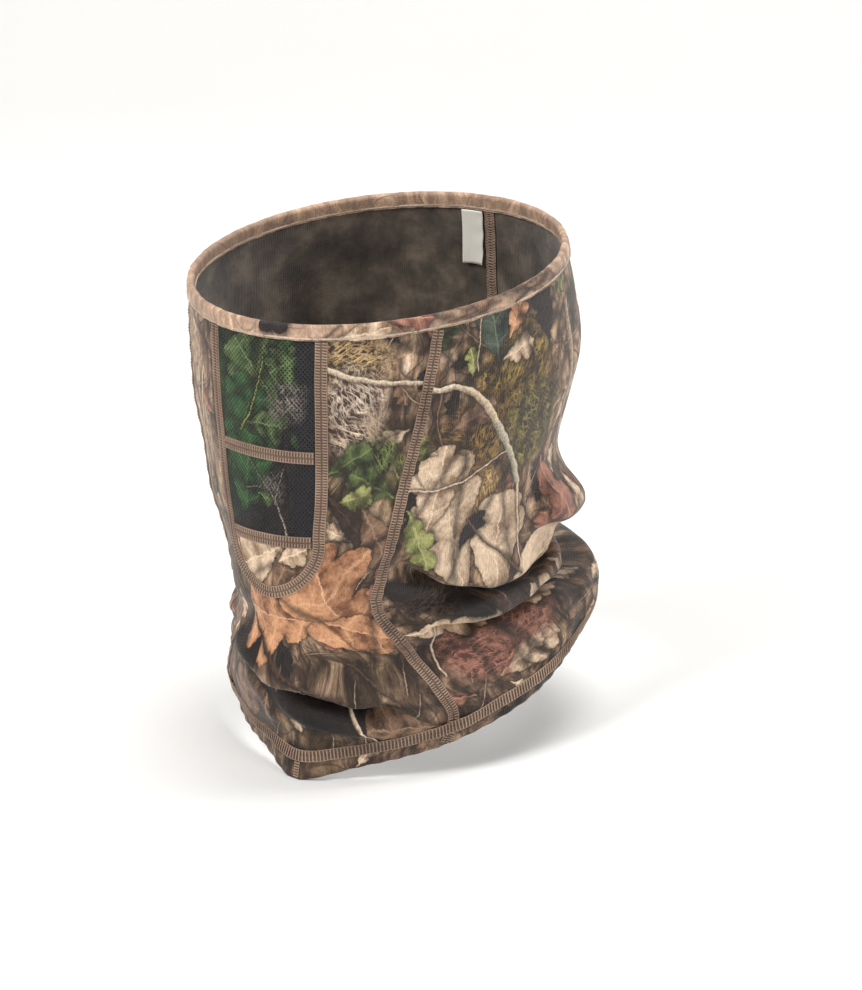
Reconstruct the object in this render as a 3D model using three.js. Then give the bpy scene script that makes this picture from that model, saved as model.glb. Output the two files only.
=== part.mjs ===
// Camouflage face mask for hunting: a stretch tube that covers the face from the bridge of the nose
// to the chest, with a fine mesh window over the nose and mouth. It is modelled in the shape that it
// takes when it is worn. Millimetres, +Z up. The face looks along -Y and the wearer's left is +X.
// The origin is the middle of the head, at the height of the top edge's front.
import * as THREE from "three";

// Cloth, elastic and thread.
const CLOTH = 1.0; // one ply of brushed stretch jersey
const MESH_CLOTH = 0.8; // knitted mesh
const BINDING_CLOTH = 0.8; // folded binding round the top edge
const ELASTIC_THICKNESS = 0.8;
const ELASTIC_WIDTH = 3.8;
const FACE_THREAD = 0.6; // cover threads of a flatlock seam, on the outside
const INSIDE_THREAD = 0.5; // looper threads of the same seam, on the inside
const GAP = 0.3; // clearance between any two pieces

// Seams and hems.
const ELASTIC_CLEAR = 0.7; // from the elastic down to the panels' raw edges, inside the binding
const BINDING_OVERLAP = 1.4; // how far the panels reach up into the binding
const BINDING_SHOULDER = 0.5; // bevel along the binding's folded edge
const STITCH_WIDTH = 5.5; // a flatlock seam
const HEM_DEPTH = 14; // turned-up hem at the bottom edge
const HEM_EDGE = 0.25; // the hem's raw edge to its stitching
const HEM_AIR = 0.1; // between the hem's two plies
const LOCK_STITCH_WIDTH = 1.2; // the single row along the binding
const LOCK_STITCH_RISE = 1.0; // that row, above the binding's lower edge
const SEAM_END = 1.2; // a seam's last stitch to the bottom edge
const CROSSING_LENGTH = 9; // stretch over which one seam climbs over another

// Mesh window over the nose and mouth: half its width at four drops, and its round bottom.
const WINDOW_SIDES = [
  { drop: 0, half: 27 },
  { drop: 57, half: 25.5 },
  { drop: 81, half: 24 },
  { drop: 98, half: 22 },
];
const WINDOW_BOTTOM = 124;
const CROSS_SEAM = 60; // between the nose mesh and the mouth mesh
const CHIN_SEAM = 100; // between the mouth mesh and the chin panel

// The seams at the sides of the face: how far round from the front, in degrees.
const SIDE_SEAM = [
  { drop: 0, turn: 56 },
  { drop: 46, turn: 50.5 },
  { drop: 90, turn: 46.5 },
  { drop: 135, turn: 44.5 },
  { drop: 170, turn: 47.5 },
  { drop: 205, turn: 50 },
  { drop: 226, turn: 46 },
];
const BACK_SEAM = 180;

// Blank care label, inside the back, next to the centre seam.
const LABEL = { width: 10.6, length: 24, thickness: 0.6, clear: 3.18 };

// The wearer's size against the rings below, across the head and from front to back.
const SIZE_ACROSS = 1;
const SIZE_DEEP = 1;

// The worn shape, ring by ring. drop is the length of cloth from the top edge, front and rear are the
// ring's heights there, half is half its width, nose, axis and nape are its front, middle and back
// along Y, taper draws the front in towards the chin, and slack is loose cloth behind the ears.
const RINGS = [
  { at: "top edge", drop: 0, front: 0, rear: 9, half: 77, nose: -98, axis: 0, nape: 100, taper: 0, slack: 0 },
  { at: "cheek", drop: 22, front: -22, rear: -14, half: 78, nose: -98, axis: 0, nape: 103, taper: 0.02, slack: 3 },
  { at: "ear", drop: 46, front: -46, rear: -42, half: 77, nose: -97, axis: 0, nape: 104, taper: 0.05, slack: 7 },
  { at: "lips", drop: 88, front: -88, rear: -86, half: 71, nose: -95, axis: 0, nape: 98, taper: 0.12, slack: 2 },
  { at: "chin", drop: 112, front: -112, rear: -112, half: 67, nose: -94, axis: 4, nape: 100, taper: 0.24, slack: 9 },
  { at: "jaw", drop: 128, front: -128, rear: -124, half: 64, nose: -94, axis: 8, nape: 96, taper: 0.3, slack: 5 },
  { at: "throat", drop: 144, front: -142, rear: -131, half: 58, nose: -90, axis: 12, nape: 89, taper: 0.22, slack: 0 },
  { at: "upper roll", drop: 158, front: -154, rear: -136, half: 65, nose: -88, axis: 14, nape: 96, taper: 0.15, slack: 4 },
  { at: "crease", drop: 172, front: -164, rear: -140, half: 62, nose: -79, axis: 16, nape: 95, taper: 0.1, slack: 0 },
  { at: "collar", drop: 190, front: -182, rear: -143, half: 74, nose: -76, axis: 22, nape: 110, taper: 0.1, slack: 8 },
  { at: "hem", drop: 212, front: -204, rear: -149, half: 79, nose: -66, axis: 26, nape: 114, taper: 0.05, slack: 6 },
  { at: "bottom edge", drop: 226, front: -215, rear: -156, half: 78, nose: -63, axis: 26, nape: 110, taper: 0.05, slack: 2 },
];
const SLACK_TURN = 125; // where the loose cloth is fullest
const SLACK_SPREAD = 28;
const POINT_REACH = 10; // the hem's pointed front, forwards
const POINT_FALL = 5; // and down
const POINT_SPREAD = 14; // degrees
const POINT_START = 180; // the drop below which the point grows

const BOTTOM = RINGS[RINGS.length - 1].drop;
const HEM_TOP = BOTTOM - HEM_DEPTH;
const HEM_STITCH = HEM_TOP + HEM_EDGE + STITCH_WIDTH / 2; // the middle of its stitching
const HEM_CLOTH = 2 * CLOTH + HEM_AIR;
const ELASTIC_TOP = BINDING_CLOTH + GAP;
const PANEL_TOP = ELASTIC_TOP + ELASTIC_WIDTH + ELASTIC_CLEAR;
const BINDING_HEIGHT = PANEL_TOP + BINDING_OVERLAP; // top edge to the binding's lower edge
const SEAM_TOP = BINDING_HEIGHT + GAP;

// How finely the cloth is divided.
const ROW = 10; // drop between rows over the face
const ROLL_ROW = 4.5; // and over the rolls round the neck
const ROLLS = 136; // the drop where the rolls start
const WINDOW_COLUMNS = 8;
const WINDOW_ROUND = 7; // rows down the window's round bottom
const SEAM_ROUND = 11; // and steps of its seam
const CHEEK_COLUMNS = 8;
const BACK_COLUMNS = 18;
const LABEL_COLUMNS = 4;
const RING_STEPS = 60;
const HEM_STEPS = 80;
const HALVINGS = 40; // in the search for a place on the surface

const DEGREE = Math.PI / 180;
const TINY = 1e-6;

// ---- The surface of the outer face of the cloth ----

// A smooth curve through the stations of a list: piecewise cubic, with no overshoot between them.
function smoothThrough(list, from, key, size = 1) {
  const x = list.map((row) => row[from]);
  const y = list.map((row) => row[key] * size);
  const rise = x.slice(1).map((value, i) => (y[i + 1] - y[i]) / (value - x[i]));
  const slope = x.map((_, i) => {
    if (i === 0) return rise[0];
    if (i === x.length - 1) return rise[i - 1];
    if (rise[i - 1] * rise[i] <= 0) return 0;
    return (2 * rise[i - 1] * rise[i]) / (rise[i - 1] + rise[i]);
  });
  return (value) => {
    const at = THREE.MathUtils.clamp(value, x[0], x[x.length - 1]);
    const i = Math.max(0, Math.min(x.length - 2, x.findIndex((station) => station >= at) - 1));
    const span = x[i + 1] - x[i];
    const t = (at - x[i]) / span;
    const s = 1 - t;
    return (
      y[i] * (1 + 2 * t) * s * s +
      y[i + 1] * (3 - 2 * t) * t * t +
      span * (slope[i] * t * s * s - slope[i + 1] * t * t * s)
    );
  };
}

const ring = {};
for (const key of ["front", "rear", "taper", "slack"]) ring[key] = smoothThrough(RINGS, "drop", key);
for (const key of ["nose", "axis", "nape"]) ring[key] = smoothThrough(RINGS, "drop", key, SIZE_DEEP);
ring.half = smoothThrough(RINGS, "drop", "half", SIZE_ACROSS);
const sideSeam = smoothThrough(SIDE_SEAM, "drop", "turn");
const windowSide = smoothThrough(WINDOW_SIDES, "drop", "half");

// The point of the cloth's outer face at a turn from the front, in degrees, and a drop.
function surface(turn, drop) {
  const angle = turn * DEGREE;
  const sine = Math.sin(angle);
  const cosine = Math.cos(angle);
  const ahead = Math.max(cosine, 0);
  const axis = ring.axis(drop);
  const nose = ring.nose(drop);
  const nape = ring.nape(drop);
  const round = Math.abs(THREE.MathUtils.euclideanModulo(turn + 180, 360) - 180);
  const slack = ring.slack(drop) * Math.exp(-(((round - SLACK_TURN) / SLACK_SPREAD) ** 2));
  const x = (ring.half(drop) * (1 - ring.taper(drop) * ahead * ahead) + slack) * sine;
  const reach = cosine > 0 ? axis - nose : nape - axis;
  const y = axis - (reach + slack) * cosine;
  const back = (y - nose) / (nape - nose);
  const z = THREE.MathUtils.lerp(ring.front(drop), ring.rear(drop), back) - Math.min(drop, 0);
  const grown = THREE.MathUtils.clamp((drop - POINT_START) / (BOTTOM - POINT_START), 0, 1) ** 2;
  const point = grown * Math.exp(-((round / POINT_SPREAD) ** 2));
  return new THREE.Vector3(x, y - POINT_REACH * point, z - POINT_FALL * point);
}

// The surface's two directions and its outward normal, by small steps.
function tangents(turn, drop) {
  const step = 0.5;
  const low = Math.max(drop - step, 0);
  const high = Math.min(drop + step, BOTTOM);
  const along = surface(turn + step, drop).sub(surface(turn - step, drop)).divideScalar(2 * step);
  const down = surface(turn, high).sub(surface(turn, low)).divideScalar(high - low);
  return { along, down, normal: down.clone().cross(along).normalize() };
}

function lifted(turn, drop, offset) {
  return surface(turn, drop).addScaledVector(tangents(turn, drop).normal, offset);
}

// Half the window's width at a drop, with its outline moved outwards by grow.
function windowHalf(drop, grow) {
  const start = WINDOW_SIDES[WINDOW_SIDES.length - 1].drop;
  if (drop <= start) return windowSide(drop) + grow;
  const fall = (drop - start) / (WINDOW_BOTTOM + grow - start);
  return (windowSide(start) + grow) * Math.sqrt(Math.max(0, 1 - fall * fall));
}

// The turn at which the surface is a given distance from the middle plane.
function turnAt(x, drop) {
  let low = 0;
  let high = sideSeam(drop);
  for (let i = 0; i < HALVINGS; i++) {
    const middle = (low + high) / 2;
    if (surface(middle, drop).x < x) low = middle;
    else high = middle;
  }
  return x <= 0 ? 0 : (low + high) / 2;
}

const windowTurn = (drop, grow) => turnAt(windowHalf(drop, grow), drop);

// The turn that moves a spot half a gap round the head.
const halfGap = (turn, drop) => GAP / 2 / tangents(turn, drop).along.length();

// ---- Closed solids from patches of the surface ----

// A patch is a list of spots { turn, drop } and triangles between them, seen from outside.
class Patch {
  constructor() {
    this.spots = [];
    this.faces = [];
    this.index = new Map();
  }

  spot(turn, drop) {
    const around = THREE.MathUtils.euclideanModulo(turn, 360);
    const key = `${(Math.round(around * 1000) % 360000) || 0},${Math.round(drop * 1000)}`;
    if (!this.index.has(key)) {
      this.index.set(key, this.spots.length);
      this.spots.push({ turn, drop });
    }
    return this.index.get(key);
  }

  face(a, b, c) {
    if (a !== b && b !== c && c !== a) this.faces.push([a, b, c]);
  }

  // Rows of the same number of [turn, drop] spots, each row below the last and turning to the left.
  rows(list) {
    for (let j = 0; j + 1 < list.length; j++) {
      for (let i = 0; i + 1 < list[j].length; i++) {
        const [a, b] = [list[j][i], list[j][i + 1]].map((s) => this.spot(...s));
        const [d, c] = [list[j + 1][i], list[j + 1][i + 1]].map((s) => this.spot(...s));
        this.face(a, d, c);
        this.face(a, c, b);
      }
    }
    return this;
  }

  // The solid between two offsets from the surface; each is a number or a function of the spot.
  solid(outer, inner) {
    const high = (s) => (typeof outer === "function" ? outer(s) : outer);
    const low = (s) => (typeof inner === "function" ? inner(s) : inner);
    const count = this.spots.length;
    const points = [
      ...this.spots.map((s) => lifted(s.turn, s.drop, high(s))),
      ...this.spots.map((s) => lifted(s.turn, s.drop, low(s))),
    ];
    const edges = new Set(this.faces.flatMap(([a, b, c]) => [`${a},${b}`, `${b},${c}`, `${c},${a}`]));
    const index = this.faces.flatMap(([a, b, c]) => [a, b, c, count + c, count + b, count + a]);
    for (const edge of edges) {
      const [a, b] = edge.split(",").map(Number);
      if (!edges.has(`${b},${a}`)) index.push(b, a, count + a, b, count + a, count + b);
    }
    return new THREE.BufferGeometry().setFromPoints(points).setIndex(index);
  }
}

// Drops from one to another, no further apart than step.
function drops(from, to, step = ROW) {
  const count = Math.max(1, Math.ceil((to - from) / step - TINY));
  return Array.from({ length: count + 1 }, (_, i) => from + ((to - from) * i) / count);
}

// Lists of drops in one, in order and without the ones that lie too close together.
function joined(...lists) {
  const all = lists.flat().sort((a, b) => a - b);
  return all.filter((drop, i) => i === 0 || drop - all[i - 1] > GAP / 2);
}

// Drops down the window's round bottom, at even angles.
function roundDrops(bottom, count) {
  const start = WINDOW_SIDES[WINDOW_SIDES.length - 1].drop;
  return Array.from({ length: count }, (_, i) => {
    return start + (bottom - start) * Math.sin((Math.PI / 2) * ((i + 1) / count));
  });
}

function between(from, to, columns, drop) {
  return Array.from({ length: columns + 1 }, (_, i) => [from + ((to - from) * i) / columns, drop]);
}

// A ribbon along a path on the surface. A level one keeps its rows at one drop each, as the panels do.
function ribbon(path, { width, closed, level, columns }) {
  const last = path.length - 1;
  const rows = path.map(([turn, drop], i) => {
    const { along, down, normal } = tangents(turn, drop);
    const [turnA, dropA] = path[closed && i === 0 ? last - 1 : Math.max(i - 1, 0)];
    const [turnB, dropB] = path[closed && i === last ? 1 : Math.min(i + 1, last)];
    const ahead = surface(turnB, dropB).sub(surface(turnA, dropA)).normalize();
    const side = level ? along.clone() : normal.clone().cross(ahead);
    side.setLength(width / 2);
    const aa = along.dot(along);
    const ad = along.dot(down);
    const dd = down.dot(down);
    const sa = side.dot(along);
    const sd = side.dot(down);
    const dTurn = (sa * dd - sd * ad) / (aa * dd - ad * ad);
    const dDrop = (sd * aa - sa * ad) / (aa * dd - ad * ad);
    return Array.from({ length: columns + 1 }, (_, k) => {
      const share = (2 * k) / columns - 1;
      return [turn + share * dTurn, drop + share * dDrop];
    });
  });
  return new Patch().rows(rows);
}

// A closed band round the head from a section of [drop, offset] corners.
function band(section) {
  const count = section.length;
  const points = [];
  const index = [];
  for (let i = 0; i < RING_STEPS; i++) {
    const turn = (360 * i) / RING_STEPS;
    for (const [drop, offset] of section) points.push(lifted(turn, drop, offset));
    const next = ((i + 1) % RING_STEPS) * count;
    for (let k = 0; k < count; k++) {
      const a = i * count + k;
      const b = i * count + ((k + 1) % count);
      const c = next + ((k + 1) % count);
      const d = next + k;
      index.push(a, c, b, a, d, c);
    }
  }
  return new THREE.BufferGeometry().setFromPoints(points).setIndex(index);
}

// ---- The pieces ----

const mask = new THREE.Group();
const looks = {
  cloth: new THREE.MeshStandardMaterial({ color: "#7d6a50", roughness: 0.75, metalness: 0 }),
  mesh: new THREE.MeshStandardMaterial({ color: "#3c4a2c", roughness: 0.85, metalness: 0 }),
  binding: new THREE.MeshStandardMaterial({ color: "#a08c74", roughness: 0.7, metalness: 0 }),
  elastic: new THREE.MeshStandardMaterial({ color: "#e6e2da", roughness: 0.9, metalness: 0 }),
  thread: new THREE.MeshStandardMaterial({ color: "#8a6a4c", roughness: 0.6, metalness: 0 }),
  label: new THREE.MeshStandardMaterial({ color: "#efece4", roughness: 0.5, metalness: 0 }),
};

function add(name, look, geometry) {
  const mesh = new THREE.Mesh(geometry, looks[look].clone());
  mesh.name = name;
  mask.add(mesh);
}

// The panels and the seams down them share these rows, so that their facets agree.
const hemRows = [HEM_TOP - GAP, HEM_TOP];
const faceRows = drops(SEAM_TOP, ROLLS);
const rollRows = drops(ROLLS, BOTTOM, ROLL_ROW).filter((drop) => Math.abs(drop - HEM_TOP) > 2 * GAP);
const panelRows = (extra = []) => joined([PANEL_TOP], faceRows, rollRows, hemRows, extra);
const clothInside = (spot) => -(spot.drop >= HEM_TOP ? HEM_CLOTH : CLOTH);

// Mesh and chin panels: between two drops, inside the window's outline.
function windowPanel(from, to) {
  const round = roundDrops(WINDOW_BOTTOM - GAP / 2, WINDOW_ROUND);
  const list = joined(drops(from, to), round.filter((drop) => drop > from && drop <= to));
  return new Patch().rows(
    list.map((drop) => {
      const edge = windowTurn(drop, -GAP / 2);
      return between(-edge, edge, WINDOW_COLUMNS, drop);
    }),
  );
}

add("nose_mesh_panel", "mesh", windowPanel(PANEL_TOP, CROSS_SEAM - GAP / 2).solid(0, -MESH_CLOTH));
add("mouth_mesh_panel", "mesh", windowPanel(CROSS_SEAM + GAP / 2, CHIN_SEAM - GAP / 2).solid(0, -MESH_CLOTH));
add("chin_panel", "cloth", windowPanel(CHIN_SEAM + GAP / 2, WINDOW_BOTTOM - GAP / 2).solid(0, -CLOTH));

// The front panel runs round both cheeks and the throat, with the window cut out of its top.
function frontPanel() {
  const patch = new Patch();
  const rows = panelRows(roundDrops(WINDOW_BOTTOM + GAP / 2, WINDOW_ROUND));
  const half = (drop) => {
    const seam = sideSeam(drop);
    return between(windowTurn(drop, GAP / 2), seam - halfGap(seam, drop), CHEEK_COLUMNS, drop);
  };
  patch.rows(rows.map(half));
  patch.rows(rows.map((drop) => half(drop).map(([turn, at]) => [-turn, at]).reverse()));
  return patch;
}
add("front_panel", "cloth", frontPanel().solid(0, clothInside));

// The side and back panels reach from the side seams to the centre back seam.
for (const [name, hand] of [["left_back_panel", 1], ["right_back_panel", -1]]) {
  const rows = panelRows().map((drop) => {
    const from = sideSeam(drop) + halfGap(sideSeam(drop), drop);
    const row = between(from, BACK_SEAM - halfGap(BACK_SEAM, drop), BACK_COLUMNS, drop);
    return hand > 0 ? row : row.map(([turn, at]) => [-turn, at]).reverse();
  });
  add(name, "cloth", new Patch().rows(rows).solid(0, clothInside));
}

// The binding is folded over the top edge, round the elastic and the panels' raw edges.
const bindingOut = GAP + BINDING_CLOTH;
const bindingIn = -CLOTH - GAP - BINDING_CLOTH;
add(
  "top_hem_binding",
  "binding",
  band([
    [BINDING_HEIGHT, bindingOut],
    [BINDING_SHOULDER, bindingOut],
    [0, bindingOut - BINDING_SHOULDER],
    [0, bindingIn + BINDING_SHOULDER],
    [BINDING_SHOULDER, bindingIn],
    [BINDING_HEIGHT, bindingIn],
    [BINDING_HEIGHT, bindingIn + BINDING_CLOTH],
    [BINDING_CLOTH, bindingIn + BINDING_CLOTH],
    [BINDING_CLOTH, GAP],
    [BINDING_HEIGHT, GAP],
  ]),
);
const elasticMiddle = -CLOTH / 2;
add(
  "top_hem_elastic",
  "elastic",
  band([
    [ELASTIC_TOP + ELASTIC_WIDTH, elasticMiddle + ELASTIC_THICKNESS / 2],
    [ELASTIC_TOP, elasticMiddle + ELASTIC_THICKNESS / 2],
    [ELASTIC_TOP, elasticMiddle - ELASTIC_THICKNESS / 2],
    [ELASTIC_TOP + ELASTIC_WIDTH, elasticMiddle - ELASTIC_THICKNESS / 2],
  ]),
);

// Paths of the seams, as [turn, drop] along each.
function windowPath() {
  const start = WINDOW_SIDES[WINDOW_SIDES.length - 1].drop;
  const list = [...drops(SEAM_TOP, start), ...roundDrops(WINDOW_BOTTOM, SEAM_ROUND)];
  const left = list.map((drop) => [windowTurn(drop, 0), drop]);
  const right = left.slice(0, -1).map(([turn, drop]) => [-turn, drop]).reverse();
  return [...left, ...right];
}

function acrossWindow(drop) {
  const reach = windowTurn(drop + STITCH_WIDTH / 2, -STITCH_WIDTH / 2 - GAP);
  return between(-reach, reach, WINDOW_COLUMNS, drop).reverse();
}

const seamRows = panelRows().filter((drop) => drop >= SEAM_TOP && drop < BOTTOM - 2 * SEAM_END);
seamRows.push(BOTTOM - SEAM_END);
const downSeam = (turn) => seamRows.map((drop) => [turn(drop), drop]);
const roundHead = (drop, steps) => between(360, 0, steps, drop);

// A seam that crosses the hem's stitching lies under it, so the hem's thread climbs over.
const crossings = [sideSeam(HEM_STITCH), -sideSeam(HEM_STITCH), BACK_SEAM];
const turnBetween = (a, b) => Math.abs(THREE.MathUtils.euclideanModulo(a - b + 180, 360) - 180);
function climb(spot) {
  const radius = surface(90, spot.drop).x;
  const spread = CROSSING_LENGTH / radius / DEGREE;
  const nearest = Math.min(...crossings.map((turn) => turnBetween(spot.turn, turn)));
  const share = THREE.MathUtils.clamp((2 * spread - nearest) / spread, 0, 1);
  return share * share * (3 - 2 * share);
}

// Each seam has its cover threads on the face of the cloth and its looper threads inside.
function seam(name, path, options = {}) {
  const { over = () => 0, inside = () => CLOTH, ...shape } = options;
  const patch = ribbon(path, { width: STITCH_WIDTH, closed: false, level: false, columns: 1, ...shape });
  const face = (spot) => GAP + over(spot);
  const back = (spot) => -inside(spot) - GAP - over(spot);
  add(`${name}_face_thread`, "thread", patch.solid((s) => face(s) + FACE_THREAD, face));
  add(`${name}_inside_thread`, "thread", patch.solid(back, (s) => back(s) - INSIDE_THREAD));
}

// Inside, a seam steps onto the hem's second ply a little above it.
const hemInside = (spot) => (spot.drop > HEM_TOP - ROLL_ROW / 2 ? HEM_CLOTH : CLOTH);
seam("window_seam", windowPath());
seam("cross_seam", acrossWindow(CROSS_SEAM));
seam("chin_seam", acrossWindow(CHIN_SEAM));
const level = { inside: hemInside, level: true };
seam("left_side_seam", downSeam(sideSeam), level);
seam("right_side_seam", downSeam((drop) => -sideSeam(drop)), level);
seam("centre_back_seam", downSeam(() => BACK_SEAM), level);
seam("top_hem_stitching", roundHead(BINDING_HEIGHT - LOCK_STITCH_RISE, RING_STEPS), {
  width: LOCK_STITCH_WIDTH,
  over: () => GAP + BINDING_CLOTH,
  closed: true,
});
seam("bottom_hem_stitching", roundHead(HEM_STITCH, HEM_STEPS), {
  over: (spot) => climb(spot) * (FACE_THREAD + GAP),
  inside: () => HEM_CLOTH,
  closed: true,
  columns: 2,
});
seam(
  "hem_point_seam",
  drops(HEM_STITCH + STITCH_WIDTH / 2 + GAP, BOTTOM - SEAM_END / 2).map((drop) => [0, drop]),
  { ...level, width: STITCH_WIDTH / 2 },
);

// The care label hangs from the binding, inside the back.
function labelPatch() {
  const radius = ring.half(LABEL.length);
  const reach = LABEL.width / radius / DEGREE;
  const from = BACK_SEAM + LABEL.clear / radius / DEGREE;
  const rows = drops(SEAM_TOP, SEAM_TOP + LABEL.length);
  return new Patch().rows(rows.map((drop) => between(from, from + reach, LABEL_COLUMNS, drop)));
}
const labelOut = -CLOTH - 2 * GAP - INSIDE_THREAD;
add("care_label", "label", labelPatch().solid(labelOut, labelOut - LABEL.thickness));

export default mask;
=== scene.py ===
"""Camouflage face mask: the cloth, seams and prints of a stretch face mask in its worn shape.

Laid out as a Blender add-on and run as a script. Lengths in the tables below are millimetres.
"""

import math

import bpy
import numpy as np
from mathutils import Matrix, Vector


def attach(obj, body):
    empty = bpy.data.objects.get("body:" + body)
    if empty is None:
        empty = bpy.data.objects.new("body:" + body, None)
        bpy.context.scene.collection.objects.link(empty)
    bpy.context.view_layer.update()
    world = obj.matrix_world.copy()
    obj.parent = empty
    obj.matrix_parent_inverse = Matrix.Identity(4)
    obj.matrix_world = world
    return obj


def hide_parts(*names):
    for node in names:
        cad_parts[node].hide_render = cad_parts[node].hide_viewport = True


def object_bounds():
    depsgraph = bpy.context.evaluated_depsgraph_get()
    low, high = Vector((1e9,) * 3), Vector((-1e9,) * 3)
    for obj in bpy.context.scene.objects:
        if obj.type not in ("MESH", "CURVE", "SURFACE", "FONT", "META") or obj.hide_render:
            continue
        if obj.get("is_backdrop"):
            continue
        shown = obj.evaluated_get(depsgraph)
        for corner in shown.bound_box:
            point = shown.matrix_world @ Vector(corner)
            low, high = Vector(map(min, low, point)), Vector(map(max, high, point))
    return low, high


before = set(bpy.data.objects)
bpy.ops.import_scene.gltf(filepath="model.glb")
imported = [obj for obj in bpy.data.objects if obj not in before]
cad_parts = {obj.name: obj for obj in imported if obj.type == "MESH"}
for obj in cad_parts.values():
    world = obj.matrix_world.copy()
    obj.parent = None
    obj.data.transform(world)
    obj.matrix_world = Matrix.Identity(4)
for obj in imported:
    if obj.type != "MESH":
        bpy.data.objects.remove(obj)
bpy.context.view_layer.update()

bl_info = {
    "name": "Camouflage face mask",
    "version": (1, 0, 0),
    "blender": (4, 5, 0),
    "location": "3D View > Sidebar > Face mask",
    "description": "Builds the cloth panels, seams and prints of a camouflage face mask",
    "category": "Object",
}

MM = 0.001
DEGREE = math.pi / 180

# ---- Sizes that the pieces share, as in the CAD model ----

BINDING_HEIGHT = 7.0
PANEL_TOP = 5.6
SEAM_TOP = 7.3
CROSS_SEAM = 60.0
CHIN_SEAM = 100.0
WINDOW_BOTTOM = 124.0
BOTTOM = 226.0
HEM_DEPTH = 14.0
HEM_TOP = BOTTOM - HEM_DEPTH
HEM_STITCH = BOTTOM - 11.0
BACK_SEAM = 180.0
HEM_STEP = (HEM_TOP - 0.4, HEM_TOP)
SEAM_END = BOTTOM - 1.2
SEAM_GAP = 0.3
WINDOW_SIDES = ((0, 27), (57, 25.5), (81, 24), (98, 22))
SIDE_SEAM = ((0, 56), (46, 50.5), (90, 46.5), (135, 44.5), (170, 47.5), (205, 50), (226, 46))

# The worn shape, ring by ring: drop from the top edge, the ring's heights at the front and the rear,
# half its width, its front, middle and back along Y, how far it draws in towards the chin, and the
# loose cloth behind the ears.
RING_KEYS = ("front", "rear", "half", "nose", "axis", "nape", "taper", "slack")
RINGS = (
    (0, 0, 9, 77, -98, 0, 100, 0, 0),
    (22, -22, -14, 78, -98, 0, 103, 0.02, 3),
    (46, -46, -42, 77, -97, 0, 104, 0.05, 7),
    (88, -88, -86, 71, -95, 0, 98, 0.12, 2),
    (112, -112, -112, 67, -94, 4, 100, 0.24, 9),
    (128, -128, -124, 64, -94, 8, 96, 0.3, 5),
    (144, -142, -131, 58, -90, 12, 89, 0.22, 0),
    (158, -154, -136, 65, -88, 14, 96, 0.15, 4),
    (172, -164, -140, 62, -79, 16, 95, 0.1, 0),
    (190, -182, -143, 74, -76, 22, 110, 0.1, 8),
    (212, -204, -149, 79, -66, 26, 114, 0.05, 6),
    (226, -215, -156, 78, -63, 26, 110, 0.05, 2),
)
SLACK_TURN, SLACK_SPREAD = 125.0, 28.0
POINT_REACH, POINT_FALL, POINT_SPREAD, POINT_START = 10.0, 5.0, 14.0, 180.0

# Cloth measured round the head: millimetres for each degree of turn, at the face's mean radius.
AROUND = 1.5


# ---- The worn surface ----


def smooth_through(stations, values):
    """A smooth curve through the values at the stations, with no overshoot between them."""
    x, y = np.array(stations, float), np.array(values, float)
    rise = np.diff(y) / np.diff(x)
    slope = np.empty_like(y)
    slope[0], slope[-1] = rise[0], rise[-1]
    product, total = rise[:-1] * rise[1:], rise[:-1] + rise[1:]
    slope[1:-1] = np.where(product > 0, 2 * product / np.where(total == 0, 1, total), 0)

    def curve(at):
        at = np.clip(at, x[0], x[-1])
        i = np.clip(np.searchsorted(x, at) - 1, 0, len(x) - 2)
        span = x[i + 1] - x[i]
        t = (at - x[i]) / span
        s = 1 - t
        return (
            y[i] * (1 + 2 * t) * s * s
            + y[i + 1] * (3 - 2 * t) * t * t
            + span * (slope[i] * t * s * s - slope[i + 1] * t * t * s)
        )

    return curve


ring = {
    key: smooth_through([row[0] for row in RINGS], [row[k + 1] for row in RINGS])
    for k, key in enumerate(RING_KEYS)
}
side_seam = smooth_through(*zip(*SIDE_SEAM))
window_side = smooth_through(*zip(*WINDOW_SIDES))


def wrapped(turn):
    """A turn brought to between -180 and 180 degrees."""
    return (np.asarray(turn, float) + 180) % 360 - 180


def form(turn, drop):
    """The plain worn shape, in millimetres, with no folds."""
    turn, drop = np.broadcast_arrays(np.asarray(turn, float), np.asarray(drop, float))
    angle = turn * DEGREE
    sine, cosine = np.sin(angle), np.cos(angle)
    ahead = np.maximum(cosine, 0)
    away = np.abs(wrapped(turn))
    axis, nose, nape = ring["axis"](drop), ring["nose"](drop), ring["nape"](drop)
    slack = ring["slack"](drop) * np.exp(-(((away - SLACK_TURN) / SLACK_SPREAD) ** 2))
    x = (ring["half"](drop) * (1 - ring["taper"](drop) * ahead**2) + slack) * sine
    reach = np.where(cosine > 0, axis - nose, nape - axis)
    y = axis - (reach + slack) * cosine
    front, rear = ring["front"](drop), ring["rear"](drop)
    z = front + (rear - front) * (y - nose) / (nape - nose) - np.minimum(drop, 0)
    grown = np.clip((drop - POINT_START) / (BOTTOM - POINT_START), 0, 1) ** 2
    point = grown * np.exp(-((away / POINT_SPREAD) ** 2))
    return np.stack([x, y - POINT_REACH * point, z - POINT_FALL * point], -1)


def normals_of(shape, turn, drop, step=0.4):
    """Unit vectors out of a surface, by small steps on it."""
    low, high = np.maximum(drop - step, 0), np.minimum(drop + step, BOTTOM)
    along = shape(turn + step, drop) - shape(turn - step, drop)
    down = shape(turn, high) - shape(turn, low)
    out = np.cross(down, along)
    return out / np.maximum(np.linalg.norm(out, axis=-1, keepdims=True), 1e-9)


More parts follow.
